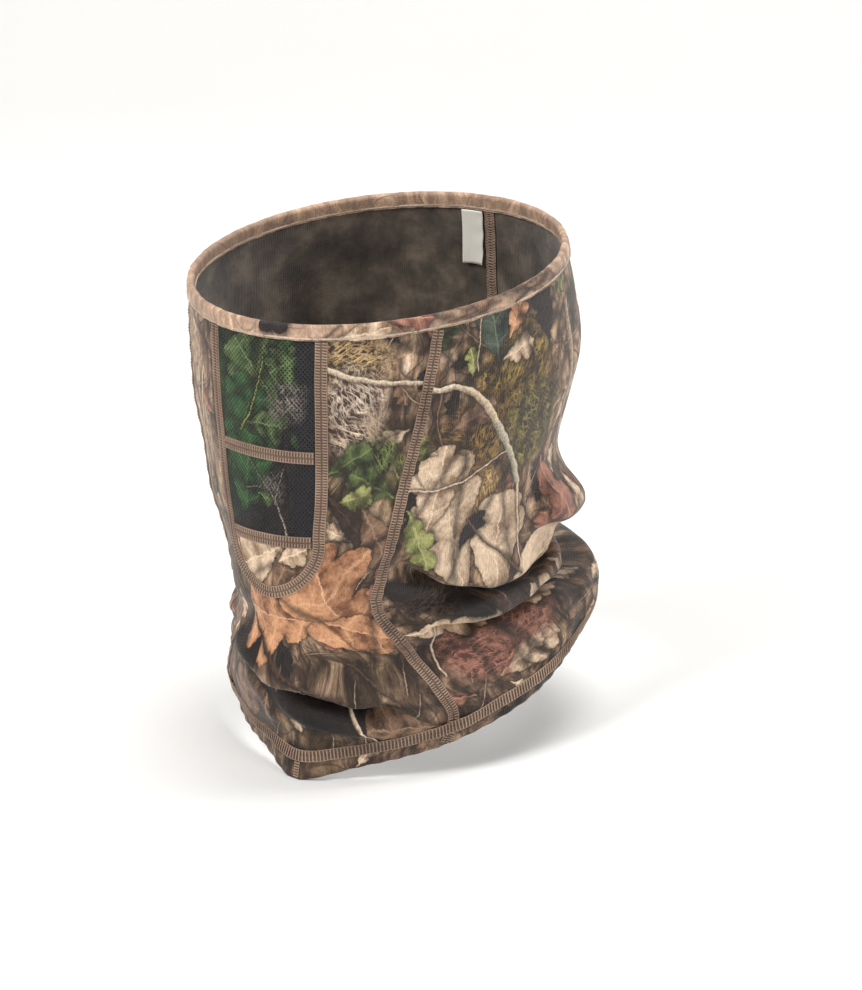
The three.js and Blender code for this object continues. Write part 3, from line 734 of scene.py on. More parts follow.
def forest_floor(tree, where, colours, seed=0.0):
    """The print's ground: upright streaks of bark, dim patches, thin dark twigs and blurred spots."""
    moved = node(tree, VECTOR, where, (seed * 37.0, seed * 91.0, seed), operation="ADD")[0]
    warp = node(tree, NOISE, moved, None, 0.03, 2.0, 0.5)["Color"]
    warped = node(tree, VECTOR, warp, (26.0, 10.0, 0.0), moved, operation="MULTIPLY_ADD")[0]
    stretched = node(tree, VECTOR, warped, (0.2, 0.028, 1.0), operation="MULTIPLY")[0]
    streak = node(tree, NOISE, stretched, None, 1.0, 5.0, 0.58)[0]
    stops = list(zip((0.28, 0.42, 0.51, 0.6, 0.74), colours))
    ground = node(tree, RAMP, streak, stops=stops)[0]
    blotch = node(tree, NOISE, moved, None, 0.05, 3.0, 0.55)[0]
    dim = node(tree, RANGE, blotch, 0.48, 0.64, 0.0, 0.7)[0]
    ground = node(tree, MIX, dim, ground, linear("#75685a"), blend_type="MULTIPLY")[0]
    tint = node(tree, NOISE, moved, None, 0.028, 2.0, 0.5)["Color"]
    tint = node(tree, CHANNELS, tint)
    for share, code, strength in ((tint[0], "#67663c", 0.5), (tint[1], "#84706f", 0.3)):
        part = node(tree, RANGE, share, 0.5, 0.64, 0.0, strength)[0]
        ground = node(tree, MIX, part, ground, linear(code), blend_type="OVERLAY")[0]
    blur = node(tree, NOISE, warped, None, 0.13, 2.0, 0.5)[0]
    blur = node(tree, RANGE, blur, 0.4, 0.62, 0.62, 1.12)[0]
    ground = node(tree, MIX, 1.0, ground, blur, blend_type="MULTIPLY")[0]
    fine = node(tree, VECTOR, warped, (1.0, 0.35, 1.0), operation="MULTIPLY")[0]
    fine = node(tree, NOISE, fine, None, 0.8, 4.0, 0.62)[0]
    speck = node(tree, RANGE, fine, 0.35, 0.65, 0.74, 1.22)[0]
    ground = node(tree, MIX, 1.0, ground, speck, blend_type="MULTIPLY")[0]
    for scale, width, depth in ((0.024, 0.007, 0.85), (0.04, 0.006, 0.6)):
        line = node(tree, NOISE, warped, None, scale, 1.5, 0.5)[0]
        line = node(tree, MATH, line, 0.5, operation="SUBTRACT")[0]
        line = node(tree, MATH, line, operation="ABSOLUTE")[0]
        line = node(tree, RANGE, line, width * 0.35, width, depth, 0.0)[0]
        ground = node(tree, MIX, line, ground, linear("#2a1f19"))[0]
    return ground


BARK = ("#261e19", "#54453a", "#7d6b59", "#9d8b74", "#c4b49e")
HIDE = ("#2b2420", "#614f41", "#93806c", "#b9a88f", "#e9e0d2")
ASH = ("#382c25", "#7b6652", "#ad957c", "#c8b49c", "#e0d2bf")

# A printed leaf's colours: its blade, the darker tone and its veins.
LEAF_TINTS = {
    "orange": ("#c09673", "#65432d", "#d6b292"),
    "rust": ("#987060", "#452b23", "#b08c79"),
    "beige": ("#cdbfa9", "#7b6954", "#dacdb8"),
    "brown": ("#806a57", "#3b2d23", "#95806b"),
    "green": ("#54663c", "#1b2515", "#6f8054"),
    "lime": ("#959f66", "#4c572c", "#a9b07d"),
    "teal": ("#48564b", "#1d2624", "#64756a"),
    "shade": ("#3d3028", "#14100d", "#4a3b31"),
    # black is also laid as painted shade: under the jaw, and in the crease under the throat cloth
    "black": ("#231d1e", "#0d0b0b", "#2e2829"),
    "bottle": ("#34552f", "#101c10", "#4a6841"),
}


def scattered(tree, under, where, prints, cell, length, kinds, seed, share):
    """Leaves strewn over that share of the cells, each with its own place, turn and colour."""
    moved = node(tree, VECTOR, where, (seed, seed * 1.7, 0.0), operation="ADD")[0]
    cells = node(tree, CELLS, moved, None, 1 / cell, voronoi_dimensions="2D")
    tint = node(tree, CHANNELS, cells["Color"])
    turn = node(tree, MATH, tint[0], 2 * math.pi, operation="MULTIPLY")[0]
    shown = node(tree, MATH, tint[1], share, operation="LESS_THAN")[0]
    width = node(tree, MATH, shown, 0.34, operation="MULTIPLY")[0]
    colours = []
    for part in range(3):
        stops = [(k / len(kinds), LEAF_TINTS[kind][part]) for k, kind in enumerate(kinds)]
        colours.append(node(tree, RAMP, tint[2], stops=stops)[0])
        colours[-1].node.color_ramp.interpolation = "CONSTANT"
    return node(
        tree, GROUP, under, moved, cells["Position"], turn, length, width, 3.5, 0.5, *colours,
        node_tree=prints["leaf"],
    )[0]


def strewn_twigs(tree, under, where, prints, cell, half, bark, dark, seed):
    """Short twigs strewn all over, one to a cell, each at its own slant."""
    moved = node(tree, VECTOR, where, (seed, seed * 1.3, 0.0), operation="ADD")[0]
    cells = node(tree, CELLS, moved, None, 1 / cell, voronoi_dimensions="2D")
    tint = node(tree, CHANNELS, cells["Color"])
    turn = node(tree, MATH, tint[0], math.pi, operation="MULTIPLY")[0]
    reach = node(
        tree, TURN, (0.45 * cell, 0.0, 0.0), None, None, turn, rotation_type="Z_AXIS"
    )[0]
    start = node(tree, VECTOR, cells["Position"], reach, operation="SUBTRACT")[0]
    end = node(tree, VECTOR, cells["Position"], reach, operation="ADD")[0]
    bend = node(tree, RANGE, tint[2], 0.0, 1.0, -0.12 * cell, 0.12 * cell)[0]
    return node(
        tree, GROUP, under, moved, start, end, half, 0.5 * half, bend, linear(bark), linear(dark),
        node_tree=prints["twig"],
    )[0]


def laid_leaves(tree, under, where, prints, leaves):
    """Leaves at chosen places: (turn, drop), the way they point, length, half width, lobes, depth, tint."""
    for (turn, drop), way, length, width, lobes, depth, tint in leaves:
        blade, dark, vein = (linear(code) for code in LEAF_TINTS[tint])
        under = node(
            tree, GROUP, under, where, (turn * AROUND, -drop, 0.0), way * DEGREE, length, width,
            lobes, depth, blade, dark, vein, node_tree=prints["leaf"],
        )[0]
    return under


def laid_twigs(tree, under, where, prints, twigs):
    """Stretches of branch between places: (turn, drop) from and to, half widths, bend, bark and dark."""
    for (turn_a, drop_a), (turn_b, drop_b), start, end, bend, bark, dark in twigs:
        ends = ((turn_a * AROUND, -drop_a, 0.0), (turn_b * AROUND, -drop_b, 0.0))
        under = node(
            tree, GROUP, under, where, *ends, start, end, bend, linear(bark), linear(dark),
            node_tree=prints["twig"],
        )[0]
    return under


def laid_grass(tree, under, where, prints, patches):
    """Patches of grass: (turn, drop), the way it leans, its reach and its two colours."""
    for (turn, drop), lean, reach, blade, dark in patches:
        under = node(
            tree, GROUP, under, where, (turn * AROUND, -drop, 0.0), lean * DEGREE, reach,
            linear(blade), linear(dark), node_tree=prints["grass"],
        )[0]
    return under


# ---- The prints of the panels ----


def front_print(tree, where, prints):
    """Cheeks and throat: pale bark above, big fallen leaves over the throat, dim twigs below."""
    ink = forest_floor(tree, where, HIDE, 3.0)
    low = node(tree, SPLIT, where)[1]
    throat = node(tree, RANGE, low, -112.0, -96.0, 1.0, 0.0)[0]
    ink = node(tree, MIX, throat, ink, forest_floor(tree, where, BARK, 5.0))[0]
    kinds = ("beige", "brown", "rust", "beige", "black")
    ink = scattered(tree, ink, where, prints, 21.0, 15.0, kinds, 33.0, 0.5)
    ink = strewn_twigs(tree, ink, where, prints, 26.0, 0.5, "#bfb09a", "#4a3c31", 51.0)
    grass = (
        ((30, 50), 40, 13, "#dccfbb", "#3a2e25"),
        ((38, 64), 70, 13, "#7d9155", "#1c2413"),
        ((-38, 60), 96, 16, "#d9c9ac", "#5a4738"),
        ((30, 18), -14, 17, "#c9b487", "#33261b"),
        ((30, 33), 56, 15, "#d3cabb", "#3a3029"),
        ((-42, 24), 84, 18, "#d0bfa5", "#6b5744"),
    )
    ink = laid_grass(tree, ink, where, prints, grass)
    leaves = (
        ((22, 102), -80, 30, 0.2, 1.5, 0.2, "brown"),
        ((30, 62), 30, 22, 0.36, 3, 0.4, "green"),
        ((37, 74), 150, 24, 0.34, 3, 0.4, "green"),
        ((33, 80), 10, 15, 0.4, 3, 0.4, "lime"),
        ((36, 97), -44, 52, 0.11, 1, 0.0, "shade"),
        ((41, 100), -60, 30, 0.3, 2, 0.3, "brown"),
        ((22, 118), 60, 30, 0.33, 3, 0.4, "brown"),
        ((-16, 150), 30, 40, 0.3, 3, 0.5, "black"),
        # painted shadow: a black leaf along the crease under the throat cloth, where the fold's shadow falls
        ((8, 190), -10, 62, 0.22, 2, 0.2, "black"),
        ((4, 137), 176, 60, 0.36, 3, 0.52, "orange"),
        ((29, 134), 118, 64, 0.44, 2.6, 0.62, "orange"),
        ((38, 151), -28, 34, 0.4, 2.4, 0.45, "orange"),
        ((47, 124), 70, 32, 0.3, 2.5, 0.5, "rust"),
        ((-9, 174), 110, 20, 0.42, 2.5, 0.3, "beige"),
        ((34, 206), 160, 30, 0.3, 2.5, 0.4, "brown"),
        ((-28, 205), 80, 40, 0.36, 3.5, 0.5, "brown"),
    )
    ink = laid_leaves(tree, ink, where, prints, leaves)
    twigs = (
        ((18, 17), (52, 30), 1.5, 1.1, 2.0, "#d8d0bd", "#6c6153"),
        ((18, 160), (38, 196), 0.9, 0.5, -4.0, "#5e4a3b", "#1f1713"),
        ((-14, 140), (22, 180), 0.7, 1.1, 3.0, "#4c3a2e", "#17110e"),
        ((-30, 30), (-40, 96), 1.2, 0.8, 4.0, "#cfc3ab", "#6a5a4a"),
        ((20, 190), (26, 212), 1.0, 0.6, 1.0, "#e4dcc9", "#7b6c5b"),
    )
    return laid_twigs(tree, ink, where, prints, twigs)


def side_print(tree, where, prints):
    """Sides and back: bark in tall streaks, a big pale leaf, a lichen-grey branch and grass."""
    ink = forest_floor(tree, where, ASH, 0.0)
    low = node(tree, SPLIT, where)[1]
    dim = node(tree, RANGE, low, -160.0, -140.0, 1.0, 0.0)[0]
    ink = node(tree, MIX, dim, ink, forest_floor(tree, where, BARK, 8.0))[0]
    for cell, length, kinds, seed, share in (
        (46.0, 34.0, ("brown", "beige", "rust", "black", "green"), 19.0, 0.6),
        (27.0, 19.0, ("beige", "rust", "lime", "brown", "black"), 71.0, 0.45),
        (17.0, 13.0, ("beige", "brown", "beige", "black"), 7.0, 0.45),
    ):
        ink = scattered(tree, ink, where, prints, cell, length, kinds, seed, share)
    ink = strewn_twigs(tree, ink, where, prints, 30.0, 0.5, "#c6b9a4", "#4a3c31", 40.0)
    ink = strewn_twigs(tree, ink, where, prints, 22.0, 0.4, "#6b5646", "#2b211b", 90.0)
    grass = (
        ((84, 38), -52, 25, "#a5904f", "#2a2117"),
        ((76, 58), -60, 20, "#9d8449", "#2c2218"),
        ((92, 64), 52, 22, "#8f874d", "#272418"),
        ((72, 92), 84, 18, "#c2ad78", "#5b472e"),
        ((60, 56), 30, 10, "#a98d5c", "#4a382a"),
        ((68, 181), 8, 21, "#a67a6a", "#4a2f28"),
        ((84, 176), -12, 20, "#9c7465", "#4f352c"),
        ((58, 126), -70, 9, "#a39582", "#3d332c"),
        ((150, 60), -60, 26, "#8f835a", "#2d271c"),
        ((-84, 50), 55, 26, "#8f835a", "#2d271c"),
        ((-140, 110), 80, 22, "#a99874", "#51422f"),
    )
    ink = laid_grass(tree, ink, where, prints, grass)
    leaves = (
        ((51, 82), 80, 22, 0.36, 2, 0.3, "black"),
        ((68, 50), 20, 22, 0.34, 2.5, 0.4, "brown"),
        ((63, 93), 106, 66, 0.28, 3.4, 0.6, "beige"),
        ((58, 80), 84, 40, 0.3, 2.4, 0.6, "beige"),
        ((82, 113), 84, 42, 0.42, 1.6, 0.25, "beige"),
        ((72, 104), 50, 17, 0.33, 2.5, 0.5, "black"),
        ((54, 103), -66, 28, 0.24, 3.2, 0.62, "lime"),
        ((74, 14), 100, 25, 0.4, 2.4, 0.35, "teal"),
        ((83, 12), 60, 16, 0.42, 2.4, 0.4, "orange"),
        ((96, 15), 100, 26, 0.34, 2.5, 0.5, "black"),
        ((84, 27), 10, 18, 0.34, 2.5, 0.4, "beige"),
        ((66, 25), 90, 12, 0.34, 2.5, 0.4, "lime"),
        ((106, 100), -70, 28, 0.36, 2.6, 0.5, "rust"),
        ((98, 176), 160, 24, 0.34, 2.5, 0.5, "beige"),
        ((66, 162), -12, 44, 0.24, 3.4, 0.5, "beige"),
        ((92, 166), 8, 46, 0.22, 3.4, 0.5, "beige"),
        # partly print, partly painted highlight: a long thin pale leaf lightens the roll behind the jaw,
        # where its ridge catches the light
        ((106, 130), 12, 66, 0.24, 2, 0.2, "beige"),
        # partly print, partly painted shade: two black leaves darken the crease under the jaw, where the roll
        # throws its shadow
        ((60, 140), -35, 60, 0.13, 2, 0.3, "black"),
        ((74, 138), -6, 40, 0.15, 2, 0.3, "black"),
        ((140, 40), 70, 58, 0.36, 3.4, 0.55, "beige"),
        ((165, 120), 200, 62, 0.4, 3.0, 0.55, "orange"),
        ((-70, 40), 115, 58, 0.34, 3.4, 0.55, "beige"),
        ((-62, 110), 60, 56, 0.42, 3.0, 0.6, "orange"),
        ((-110, 30), 80, 46, 0.38, 3.0, 0.5, "green"),
        ((-150, 150), 20, 60, 0.36, 3.2, 0.55, "orange"),
        ((-165, 60), 140, 54, 0.36, 3.4, 0.5, "brown"),
    )
    ink = laid_leaves(tree, ink, where, prints, leaves)
    # painted shade and highlight: the two dark patches give the painted shade under the jaw a fibrous look,
    # and the pale one is partly print, partly a painted highlight on the roll
    jaw_shade_and_highlight = (
        ((62, 141), -14, 13, "#54473c", "#100c0b"),
        ((80, 140), 8, 12, "#6b5c4e", "#15110f"),
        ((112, 138), 6, 11, "#d2c4b0", "#77665a"),
    )
    ink = laid_grass(tree, ink, where, prints, jaw_shade_and_highlight)
    twigs = (
        ((56, 36), (58, 60), 0.6, 0.4, 2.0, "#8a7763", "#2e241d"),
        ((98, 44), (92, 96), 0.6, 0.4, 3.0, "#6b5646", "#2b211b"),
        ((70, 0), (68, 30), 0.5, 0.4, 1.0, "#c9bfae", "#6d6154"),
        ((49, 32), (60, 34), 1.3, 1.6, 0.6, "#ddd6c6", "#7b7163"),
        ((60, 34), (76, 56), 1.6, 2.0, -3.2, "#cfc6b0", "#7b6f5c"),
        ((76, 56), (90, 91), 2.2, 1.6, -1.2, "#bdbcab", "#63645a"),
        ((90, 91), (91, 126), 0.9, 0.5, 0.8, "#ddd2c0", "#7e7060"),
        ((48, 79), (66, 80), 0.55, 0.6, 0.8, "#e3d6c4", "#6b5443"),
        ((66, 80), (82, 72), 0.6, 0.5, -0.8, "#e3d6c4", "#6b5443"),
        ((70, 98), (92, 130), 0.7, 0.5, 3.0, "#6b5646", "#2b211b"),
        ((60, 158), (53, 188), 0.8, 0.5, 1.6, "#d9ccb7", "#75665a"),
        ((110, 20), (128, 110), 2.4, 1.4, 8.0, "#a89c86", "#4b4238"),
        ((-56, 20), (-90, 110), 2.2, 1.2, 6.0, "#a89c86", "#4b4238"),
        ((170, 20), (196, 130), 2.6, 1.4, -8.0, "#a89c86", "#4b4238"),
    )
    return laid_twigs(tree, ink, where, prints, twigs)


def mesh_print(tree, where, prints):
    """Nose and mouth: green leaves in deep shade, with a thin stem, a grey blur and forked twigs."""
    patch = node(tree, NOISE, where, None, 0.05, 4.0, 0.6)[0]
    greens = ((0.36, "#12170f"), (0.5, "#1f3319"), (0.62, "#33552a"), (0.75, "#456b38"))
    ink = node(tree, RAMP, patch, stops=greens)[0]
    across = node(tree, SPLIT, where)[0]
    leaves = (
        ((8, 34), 84, 64, 0.36, 3, 0.32, "bottle"),
        ((-2, 24), 130, 40, 0.42, 3, 0.4, "green"),
        ((-9, 48), 60, 44, 0.4, 3, 0.35, "bottle"),
        ((10, 17), 210, 24, 0.4, 3, 0.5, "green"),
        ((2, 47), 0, 22, 0.4, 3, 0.4, "green"),
        ((-8, 72), 80, 40, 0.42, 2.6, 0.3, "bottle"),
        ((5, 82), -14, 22, 0.36, 3, 0.45, "green"),
        ((10, 74), -84, 44, 0.3, 2, 0.3, "black"),
        ((-3, 97), 4, 50, 0.3, 2, 0.3, "black"),
    )
    ink = laid_leaves(tree, ink, where, prints, leaves)
    edge = node(tree, NOISE, where, None, 0.06, 3.0, 0.6)[0]
    edge = node(tree, MATH, edge, 26.0, across, operation="MULTIPLY_ADD")[0]
    shade = node(tree, RANGE, edge, 29.0, 33.0, 0.0, 0.95)[0]
    ink = node(tree, MIX, shade, ink, linear("#1d1a20"))[0]
    grass = (((9, 36), 60, 10, "#8f857a", "#2e2a28"), ((4, 74), 80, 7, "#8a8478", "#221f20"))
    ink = laid_grass(tree, ink, where, prints, grass)
    twigs = (
        ((-10, 52), (1, 12), 0.5, 0.3, 3.0, "#9aa04c", "#4a5a28"),
        ((9, 99), (4, 80), 0.8, 0.5, 0.0, "#a3988c", "#5b5048"),
        ((4, 82), (-7, 64), 0.5, 0.3, 1.0, "#978c80", "#52473f"),
        ((4, 84), (8, 66), 0.5, 0.3, -1.0, "#978c80", "#52473f"),
        ((-2, 76), (-9, 78), 0.4, 0.3, 0.5, "#978c80", "#52473f"),
    )
    return laid_twigs(tree, ink, where, prints, twigs)


def chin_print(tree, where, prints):
    """Chin: dry grey-beige leaf litter."""
    ink = forest_floor(tree, where, ASH, 11.0)
    leaves = (
        ((-6, 109), 200, 34, 0.42, 2.2, 0.3, "beige"),
        ((7, 116), 60, 20, 0.42, 2.4, 0.4, "brown"),
        ((12, 106), 20, 18, 0.4, 2.4, 0.3, "beige"),
    )
    return laid_leaves(tree, ink, where, prints, leaves)


def binding_print(tree, where, prints):
    """Top binding: pale bark with a few brown leaves and twigs cut across."""
    ink = forest_floor(tree, where, ASH, 2.0)
    pale = node(tree, MIX, 0.35, ink, linear("#c9b3a3"))[0]
    leaves = (
        ((-12, 3), 20, 30, 0.3, 2.4, 0.4, "rust"),
        ((4, 8), -10, 20, 0.34, 2.4, 0.4, "black"),
        ((-34, 4), 10, 24, 0.3, 2.4, 0.4, "brown"),
        ((34, 3), -8, 22, 0.3, 2.4, 0.4, "beige"),
        ((47, 8), 12, 20, 0.3, 2.4, 0.4, "rust"),
        ((66, 10), 8, 24, 0.25, 2.4, 0.4, "brown"),
        ((96, 3), 14, 22, 0.25, 2.4, 0.4, "brown"),
    )
    ink = laid_leaves(tree, pale, where, prints, leaves)
    twigs = (
        ((20, 0), (27, 7), 0.4, 0.3, 0.3, "#6e5848", "#2e231c"),
        ((40, 7), (46, 0), 0.5, 0.4, 0.2, "#a06c50", "#4a2f22"),
        ((58, 2), (76, 5), 0.5, 0.3, 0.4, "#8c7360", "#463529"),
        ((82, 2), (96, 4), 0.7, 0.4, 0.3, "#57463a", "#261c16"),
    )
    return laid_twigs(tree, ink, where, prints, twigs)


# ---- Finishes ----


def finish_with(name, **constants):
    """A new material with its shader's plain values set; returns its tree, its shader and itself."""
    material = bpy.data.materials.new(name)
    material.use_nodes = True
    shader = material.node_tree.nodes["Principled BSDF"]
    for key, value in constants.items():
        shader.inputs[key.replace("_", " ")].default_value = value
    return material.node_tree, shader, material


def knit_relief(tree, where, pitch, shader, strength, depth):
    """Bump of knitted columns and courses, at a pitch in millimetres."""
    turned = 2 * math.pi / pitch
    split = node(tree, SPLIT, where)
    column = node(tree, MATH, split[0], turned, operation="MULTIPLY")[0]
    column = node(tree, MATH, column, operation="COSINE")[0]
    course = node(tree, MATH, split[1], turned * 1.25, operation="MULTIPLY")[0]
    lean = node(tree, MATH, column, 0.9, course, operation="MULTIPLY_ADD")[0]
    course = node(tree, MATH, lean, operation="SINE")[0]
    relief = node(tree, MATH, column, course, operation="ADD")[0]
    fuzz = node(tree, NOISE, where, None, 2.2, 2.0, 0.5)[0]
    relief = node(tree, MATH, fuzz, 1.8, relief, operation="MULTIPLY_ADD")[0]
    bump = node(tree, BUMP, strength, depth * MM, None, relief)
    tree.links.new(bump[0], shader.inputs["Normal"])
    return relief


def jersey(name, draw, prints, pitch):
    """Brushed polyester jersey, knitted and sublimation printed: soft, with a low satin gleam on the folds.

    The real stitches are about 0.4 mm; they are drawn coarser so that they show.
    """
    tree, shader, material = finish_with(
        name, Roughness=0.55, Sheen_Weight=0.1, Sheen_Roughness=0.4, Specular_IOR_Level=0.32
    )
    where = cloth_place(tree)
    ink = draw(tree, where, prints)
    grain = node(tree, VECTOR, where, (1.4, 0.55, 1.0), operation="MULTIPLY")[0]
    grain = node(tree, NOISE, grain, None, 1.0, 3.0, 0.65)[0]
    grain = node(tree, RANGE, grain, 0.32, 0.68, 0.7, 1.25)[0]
    ink = node(tree, MIX, 0.8, ink, grain, blend_type="MULTIPLY")[0]
    relief = knit_relief(tree, where, pitch, shader, 0.3, 0.2)
    # the hollows between the stitches take less light
    shade = node(tree, RANGE, relief, -1.2, 2.8, 1.07, 1.21)[0]
    ink = node(tree, MIX, 1.0, ink, shade, blend_type="MULTIPLY")[0]
    # the print's dyes all lean a little to brown
    ink = node(tree, MIX, 1.0, ink, linear("#fff0e6"), blend_type="MULTIPLY")[0]
    tree.links.new(ink, shader.inputs["Base Color"])
    return material


def net(name, draw, prints, pitch):
    """Fine knitted polyester mesh, printed: dull, with rows of small holes that let the dark inside show
    through, and that are painted darker as painted shade.

    The real holes are about 0.7 mm apart; they are drawn coarser so that they show.
    """
    tree, shader, material = finish_with(
        name, Roughness=0.72, Sheen_Weight=0.12, Sheen_Roughness=0.5, Specular_IOR_Level=0.3
    )
    where = cloth_place(tree)
    ink = draw(tree, where, prints)
    turned = node(tree, TURN, where, None, None, 45 * DEGREE, rotation_type="Z_AXIS")[0]
    turned = node(tree, VECTOR, turned, None, None, math.pi * math.sqrt(2) / pitch, operation="SCALE")[0]
    sines = node(tree, VECTOR, turned, operation="SINE")[0]
    split = node(tree, SPLIT, sines)
    both = node(tree, MATH, split[0], split[1], operation="MULTIPLY")[0]
    hole = node(tree, MATH, both, operation="ABSOLUTE")[0]
    # painted shade: the holes are darkened in the colour, standing for the shaded hollow seen through them
    dark = node(tree, RANGE, hole, 0.3, 0.75, 1.1, 0.3)[0]
    ink = node(tree, MIX, 1.0, ink, dark, blend_type="MULTIPLY")[0]
    tree.links.new(ink, shader.inputs["Base Color"])
    solid = node(tree, RANGE, hole, 0.66, 0.9, 1.0, 0.3)[0]
    tree.links.new(solid, shader.inputs["Alpha"])
    bump = node(tree, BUMP, 0.4, 0.25 * MM, None, hole, invert=True)
    tree.links.new(bump[0], shader.inputs["Normal"])
    return material


def reverse(name, pitch):
    """The unprinted back of the jersey: grey-brown, the print showing through only as dim blotches, and
    darker than the real pale back as painted shade of the hollow inside.
    """
    tree, shader, material = finish_with(
        name, Roughness=0.8, Sheen_Weight=0.3, Sheen_Roughness=0.5, Specular_IOR_Level=0.25
    )
    where = cloth_place(tree)
    through = node(tree, NOISE, where, None, 0.06, 5.0, 0.6)[0]
    # painted shade: these browns are darker than the real back of the cloth, standing for the shade inside
    # the mask
    ink = node(tree, RAMP, through, stops=((0.34, "#3a332d"), (0.5, "#554b41"), (0.66, "#75695b")))[0]
    knit_relief(tree, where, pitch, shader, 0.35, 0.25)
    tree.links.new(ink, shader.inputs["Base Color"])
    return material


def thread(name, colour, dark):
    """Spun polyester sewing thread: a slight lustre, with plies that catch light along each stitch."""
    tree, shader, material = finish_with(
        name, Roughness=0.55, Sheen_Weight=0.15, Sheen_Roughness=0.4, Specular_IOR_Level=0.4
    )
    spot = node(tree, "ShaderNodeTexCoord")["Object"]
    tone = node(tree, NOISE, spot, None, 1600.0, 2.0, 0.5)[0]
    wide = node(tree, NOISE, spot, None, 45.0, 2.0, 0.5)[0]
    tone = node(tree, MATH, tone, 0.5, wide, operation="MULTIPLY_ADD")[0]
    tone = node(tree, RANGE, tone, 0.45, 0.95, 0.0, 1.0)[0]
    ink = node(tree, MIX, tone, dark, colour)[0]
    tree.links.new(ink, shader.inputs["Base Color"])
    bump = node(tree, BUMP, 0.5, 0.1 * MM, None, tone)
    tree.links.new(bump[0], shader.inputs["Normal"])
    return material


ELASTIC_RIB = 0.8


def elastic_knit(name, colour):
    """Braided elastic: matt off-white with narrow ribs along it."""
    tree, shader, material = finish_with(name, Roughness=0.85, Specular_IOR_Level=0.25)
    where = cloth_place(tree)
    split = node(tree, SPLIT, where)
    rib = node(tree, MATH, split[1], 2 * math.pi / ELASTIC_RIB, operation="MULTIPLY")[0]
    rib = node(tree, MATH, rib, operation="SINE")[0]
    tone = node(tree, RANGE, rib, -1.0, 1.0, 0.0, 1.0)[0]
    ink = node(tree, MIX, tone, linear("#b9b4a9"), colour)[0]
    tree.links.new(ink, shader.inputs["Base Color"])
    return material


def satin(name, colour):
    """Woven satin label: smooth warp floats, so it has a clear soft gleam."""
    tree, shader, material = finish_with(name, Roughness=0.38, Sheen_Weight=0.1, Specular_IOR_Level=0.5)
    where = cloth_place(tree)
    fine = node(tree, VECTOR, where, (0.5, 6.0, 1.0), operation="MULTIPLY")[0]
    tone = node(tree, NOISE, fine, None, 1.0, 3.0, 0.6)[0]
    ink = node(tree, MIX, tone, linear("#cfc9bb"), colour)[0]
    tree.links.new(ink, shader.inputs["Base Color"])
    return material


def backdrop_paper(name, colour):
    """Matt seamless paper."""
    tree, shader, material = finish_with(name, Roughness=0.95, Specular_IOR_Level=0.1)
    spot = node(tree, "ShaderNodeTexCoord")["Object"]
    tone = node(tree, NOISE, spot, None, 4.0, 3.0, 0.5)[0]
    ink = node(tree, MIX, tone, [0.97 * c for c in colour[:3]] + [1.0], colour)[0]
    tree.links.new(ink, shader.inputs["Base Color"])
    return material


# ---- Settings ----


def colour_property(label, code, description):
    """A colour setting, from its hex value."""
    return bpy.props.FloatVectorProperty(
        name=label, description=description, default=linear(code), size=4, min=0, max=1, subtype="COLOR"
    )


def length_property(label, millimetres, description):
    """A length setting, from its millimetres."""
    return bpy.props.FloatProperty(
        name=label, description=description, default=millimetres * MM, min=0, unit="LENGTH", precision=5
    )


class MaskSizes(bpy.types.PropertyGroup):
    """Sizes of the cloth and stitches."""

    grid: length_property("Cloth grid", 2.0, "Distance between the points of the modelled cloth")
    cloth: length_property("Jersey", 1.0, "Thickness of the jersey as modelled, with its brushed back")
    mesh_cloth: length_property("Mesh", 0.8, "Thickness of the knitted mesh")
    binding: length_property("Binding", 0.8, "Thickness of the folded binding")
    seam_width: length_property("Seam width", 5.5, "Width of a flatlock seam")
    stitch: length_property("Stitch", 1.3, "Distance from one stitch to the next")
    hem_stitch: length_property("Hem stitch", 1.6, "Distance between the hem's cross threads")
    thread: length_property("Thread", 0.52, "Diameter of the bulked seam thread")
    knit: length_property("Knit", 1.0, "Distance between the knit's drawn columns")
    net: length_property("Net", 2.2, "Distance between the mesh's drawn holes")


class MaskColours(bpy.types.PropertyGroup):
    """Colours of the threads and trims; the print's own colours stay with the prints."""

    seam: colour_property("Seam thread", "#a88f7b", "Light side of the seam thread")
    seam_dark: colour_property("Seam thread, dark", "#755d4c", "Darker plies of the seam thread")
    seam_bed: colour_property("Seam bed", "#45362d", "Thread in the shade between the stitches")
    lock: colour_property("Binding thread", "#cdb9a5", "Thread of the row along the binding")
    lock_dark: colour_property("Binding thread, dark", "#8d7866", "Hollows of that row")
    elastic: colour_property("Elastic", "#e6e2da", "Elastic inside the top edge")
    label: colour_property("Label", "#efece4", "Blank care label")
    floor: colour_property("Floor", "#f4f3f1", "Floor and backdrop")


# ---- Pieces ----


def keep(made, nodes):
    """Ties a piece to the body, and hides the CAD nodes that it stands for."""
    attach(made, "root")
    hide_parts(*nodes)
    return made


def finish_named(name, make, *settings):
    """The finish of that name, made the first time it is asked for."""
    return bpy.data.materials.get(name) or make(name, *settings)


def prints_made():
    """The print's node groups, made the first time they are asked for."""
    makers = {"leaf": leaf_print, "twig": twig_print, "grass": blades_print}
    return {key: bpy.data.node_groups.get(f"printed {key}") or makers[key]() for key in makers}


def cloth_depth(sizes):
    """How far the cloth's inner face lies under its outer one: two plies in the hem."""
    ply = sizes.cloth / MM

    def depth(turn, drop):
        return -np.where(drop >= HEM_TOP, 2 * ply + 0.1, ply)

    return depth


def panel_drops(sizes, top, bottom, extra=()):
    """The drops of a panel's rows, at the cloth's grid, with the extra ones."""
    return spread(top, bottom, sizes.grid / MM, extra)


